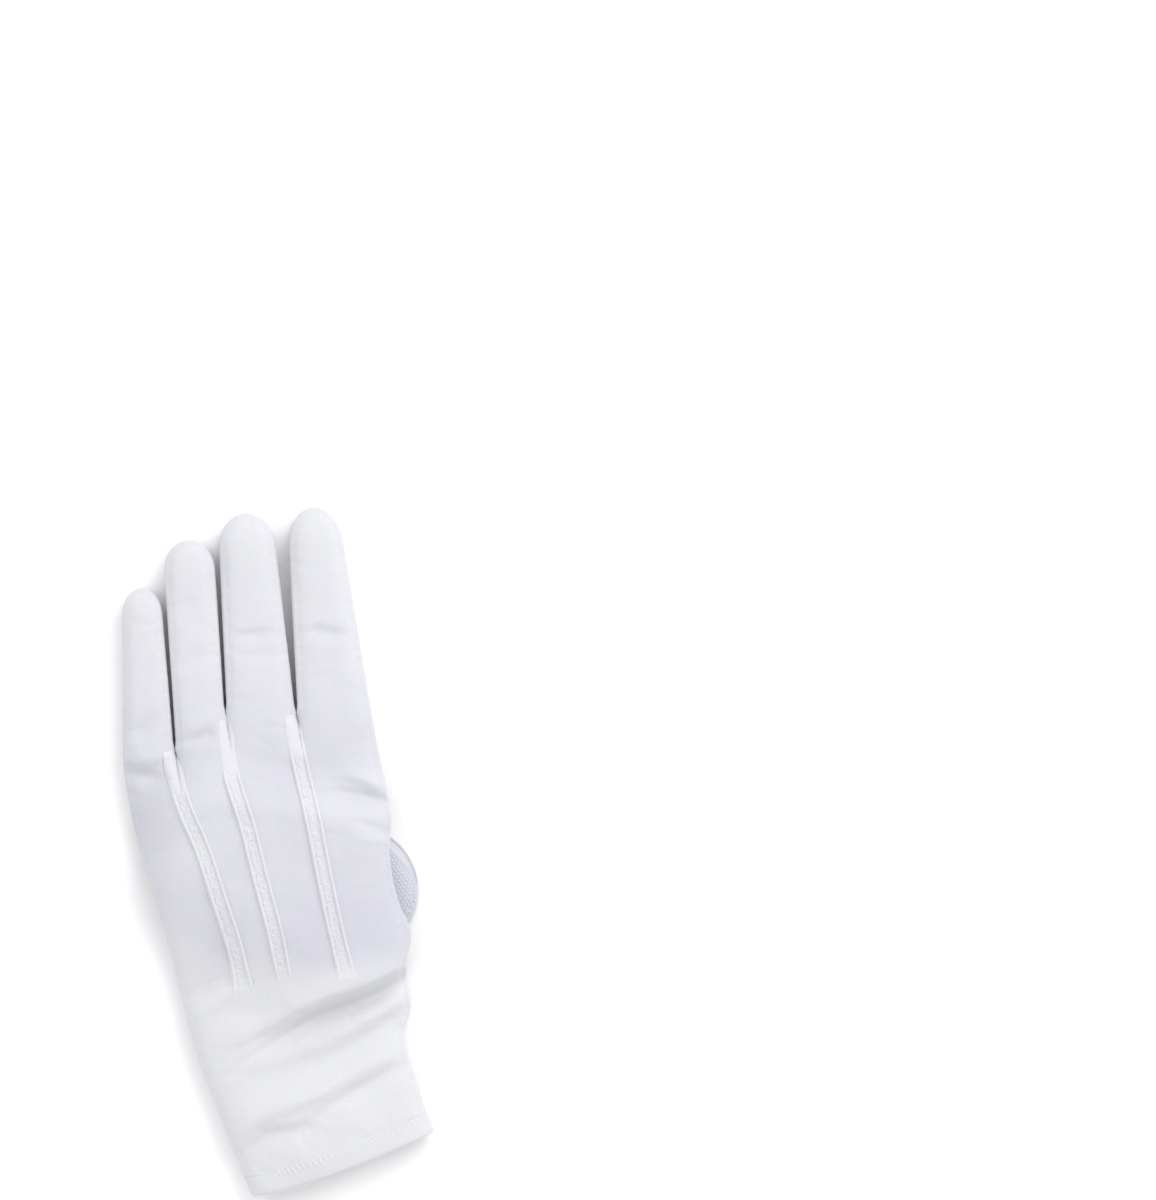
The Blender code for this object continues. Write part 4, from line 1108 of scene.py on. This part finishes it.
def cut_hole(obj, centre, half_long, half_wide, direction, bottom, top):
    """Cuts an upright oval hole through a piece's wall, for good."""
    aside = np.array([direction[1], -direction[0]])
    n = ROUND_SIDES
    ring = [centre + half_long * math.cos(a) * direction - half_wide * math.sin(a) * aside
            for a in ROUND_ANGLES]
    points = np.array([(*p, z) for z in (bottom, top) for p in ring]) + SHIFT
    faces = quads(ring_of(0, n), ring_of(n, n)) + [tuple(range(n - 1, -1, -1)), tuple(range(n, 2 * n))]
    mesh = bpy.data.meshes.new("hole")
    mesh.from_pydata(points.tolist(), [], faces)
    cutter = placed("hole", mesh)
    modifier = obj.modifiers.new("hole", "BOOLEAN")
    modifier.operation, modifier.object, modifier.solver = "DIFFERENCE", cutter, "EXACT"
    graph = bpy.context.evaluated_depsgraph_get()
    result = bpy.data.meshes.new_from_object(obj.evaluated_get(graph))
    obj.modifiers.clear()
    obj.data = result
    bpy.data.objects.remove(cutter, do_unlink=True)


# Grip dots. The rings give the radius and the height above the foot, in mm.
DOT_SIDES = 6
DOT_SINK = 0.06 * MM
DOT_RINGS = (0.40, 0.0), (0.34, 0.154), (0.18, 0.2604), (0, 0.28)
DOT_PROFILE = [(radius * MM, radius * MM, height * MM) for radius, height in DOT_RINGS]


def grip_dots(name, obj, places, upward, low_limit):
    """A field of small moulded domes in staggered rows, standing on the outer skin of a piece."""
    mesh = obj.data
    tree = BVHTree.FromPolygons([v.co for v in mesh.vertices], [p.vertices for p in mesh.polygons])
    direction = Vector((0, 0, -1 if upward else 1))
    points, faces = [], []
    for x, y in places:
        origin = Vector((x + SHIFT[0], y + SHIFT[1], 0.05 if upward else -0.01))
        hit, normal, _, _ = tree.ray_cast(origin, direction)
        if hit is None or normal.z * (1 if upward else -1) < low_limit:
            continue
        if (upward and hit.z < THUMB_SEAM_HEIGHT) or (not upward and hit.z > THUMB_LIFT + 0.004):
            continue
        side = normal.orthogonal().normalized()
        start = len(points)
        axes = side, normal.cross(side), normal
        turn(points, faces, hit - normal * DOT_SINK, axes, DOT_PROFILE, DOT_SIDES)
        faces.append(tuple(reversed(range(start, start + DOT_SIDES))))
    moved = np.array([tuple(p) for p in points]) - SHIFT
    moved[:, 2] = np.maximum(moved[:, 2], 0.00001)
    return make_piece(name, moved, faces, DOTS)


def hex_places(low, high, pitch):
    rows = int((high[1] - low[1]) / (pitch * math.sqrt(3) / 2))
    places = []
    for j in range(rows + 1):
        y = low[1] + j * pitch * math.sqrt(3) / 2
        x = low[0] + (pitch / 2 if j % 2 else 0)
        while x < high[0]:
            places.append((x, y))
            x += pitch
    return places


# Snap


def snap_piece(name, centre, profile, node_name):
    points, faces = [], []
    profile = [(radius, radius, z) for radius, z in profile]
    turn(points, faces, np.append(centre, 0.0), np.eye(3), profile, ROUND_SIDES)
    return make_piece(name, points, faces, PLASTIC, [node_name], smooth=40)


def snap():
    centre = snap_centre()
    half, post = SNAP_DIAMETER / 2, POST_DIAMETER / 2
    flap = float(lift(*centre)) + HEM_PROUD
    socket = flap + LAP_RISE + WALL + CAD_GAP
    roof = socket + SOCKET_THICKNESS
    tip = roof - SOCKET_FLOOR - CAD_GAP
    under = flap - CAD_GAP
    base = under - SNAP_THICKNESS
    edge = [(half * math.sin(a) ** 0.6, base + SNAP_THICKNESS * 0.5 * (1 - math.cos(a)))
            for a in np.linspace(0.02, math.pi / 2, 14)]
    snap_piece("snap_cap_dome", centre, [
        (0, base), *edge, (half, under - SNAP_THICKNESS * 0.25), (half * 0.975, under - 0.0001),
        (half * 0.94, under), (post, under), (post, tip), (0, tip),
    ], "snap_cap")
    hole, wide = post + CAD_GAP, SOCKET_DIAMETER / 2
    snap_piece("snap_socket_ring", centre, [
        (0, tip + CAD_GAP), (hole, tip + CAD_GAP), (hole, socket), (wide * 0.95, socket),
        (wide * 0.985, socket + 0.0001), (wide, socket + 0.0004), (wide, roof - 0.0005),
        (wide * 0.97, roof - 0.00015), (wide * 0.9, roof), (wide * 0.55, roof), (wide * 0.5, roof - 0.0003),
        (0, roof - 0.0003),
    ], "snap_socket")
    return centre, hole, base, roof


# Floor, light and camera


def stage():
    mesh = bpy.data.meshes.new("floor")
    mesh.from_pydata([(-4, -4, 0), (4, -4, 0), (4, 4, 0), (-4, 4, 0)], [], [(0, 1, 2, 3)])
    floor = placed("floor", mesh)
    floor.location.z = -0.00002
    values = {"Base Color": (0.985, 0.985, 0.985, 1), "Roughness": 0.9, "Specular IOR Level": 0.1}
    mesh.materials.append(new_material("pale_floor", values)[0])


def area_light(name, place, target, size, power, colour):
    data = bpy.data.lights.new(name, "AREA")
    data.shape, data.size, data.energy, data.color = "SQUARE", size, power, colour
    light = placed(name, data)
    light.location = place
    light.rotation_mode = "QUATERNION"
    light.rotation_quaternion = (Vector(target) - Vector(place)).to_track_quat("-Z", "Y")


# Place of the photograph's middle on the surface, in the outline's own frame, and the photograph's scale
PHOTO_WIDTH, PHOTO_HEIGHT = 1156, 1200
METRES_PER_PIXEL = 0.000365
PHOTO_TILT = math.radians(8.52)
HEM_PIXEL = 344, 1166
CAMERA_HEIGHT = 4.0
SHARP_LEVEL = 0.008


def camera():
    right = Vector((math.cos(PHOTO_TILT), -math.sin(PHOTO_TILT), 0))
    up = Vector((math.sin(PHOTO_TILT), math.cos(PHOTO_TILT), 0))
    aside = (PHOTO_WIDTH / 2 - HEM_PIXEL[0]) * METRES_PER_PIXEL
    along = (HEM_PIXEL[1] - PHOTO_HEIGHT / 2) * METRES_PER_PIXEL
    middle = Vector(SHIFT) + right * aside + up * along
    data = bpy.data.cameras.new("camera")
    data.sensor_width = 36
    data.lens = 36 * (CAMERA_HEIGHT - SHARP_LEVEL) / (PHOTO_HEIGHT * METRES_PER_PIXEL)
    data.clip_start, data.clip_end = 0.05, 20
    made = placed("camera", data)
    turn = Matrix((right, up, Vector((0, 0, 1)))).transposed()
    made.matrix_world = Matrix.Translation(middle + Vector((0, 0, CAMERA_HEIGHT))) @ turn.to_4x4()
    bpy.context.scene.camera = made
    return right, up


def lights(right, up):
    world = bpy.context.scene.world or bpy.data.worlds.new("world")
    bpy.context.scene.world = world
    world.use_nodes = True
    background = world.node_tree.nodes["Background"]
    background.inputs["Color"].default_value = (0.99, 0.99, 1.0, 1)
    background.inputs["Strength"].default_value = 0.80
    glove = Vector(SHIFT) + Vector((0, 0.12, 0))
    key = glove + right * 0.75 + up * 0.85 + Vector((0, 0, 0.95))
    area_light("key", key, glove, 1.2, 12.5, (1.0, 1.0, 1.0))
    fill = glove - right * 0.9 - up * 0.3 + Vector((0, 0, 1.1))
    area_light("fill", fill, glove, 1.4, 4.2, (0.98, 0.99, 1.0))
    bpy.context.scene.view_settings.view_transform = "Standard"


def build():
    back_grid, palm_grid = glove_grid(slit=False), glove_grid(slit=True)
    panel("back_shell", back_grid, True, SMOOTH, "back_panel")
    palm = panel("palm_shell", palm_grid, False, DOTTED, "palm_panel")
    fourchettes(back_grid)
    for row in POINTS:
        raised_point(dict(zip(POINT_COLUMNS, row)))
    threads = hem(), binding()
    front, ring = thumb_half("thumb_front_shell", True, DOTTED, "thumb_front")
    thumb_half("thumb_back_shell", False, SMOOTH, "thumb_back")
    base, _, direction = thumb_axis()
    mouth = (base + THUMB_HOLE_SETBACK * direction, THUMB_HOLE_LENGTH / 2, THUMB_HOLE_WIDTH / 2, direction,
             THUMB_SEAM_HEIGHT, THUMB_HEIGHT + SEAM_HEIGHT)
    cut_hole(palm, *mouth)
    cut_hole(front, *mouth)
    centre, hole, low, high = snap()
    cut_hole(palm, centre, hole, hole, np.array([1.0, 0.0]), low, high)
    grip_dots("palm_dots", palm, hex_places((-0.060, 0.009), (0.044, 0.242), 0.0015), False, 0.80)
    places = np.array(hex_places((-0.042, 0.070), (0.046, 0.142), 0.0015))
    distance, _ = from_edge(places, ring)
    places = places[distance > thumb_rim(places[:, 1]) + 0.8 * MM]
    grip_dots("thumb_dots", front, places, True, 0.55)
    points, faces = joined(threads)
    make_piece("seam_threads", points, faces, THREAD)
    stage()
    lights(*camera())


build()
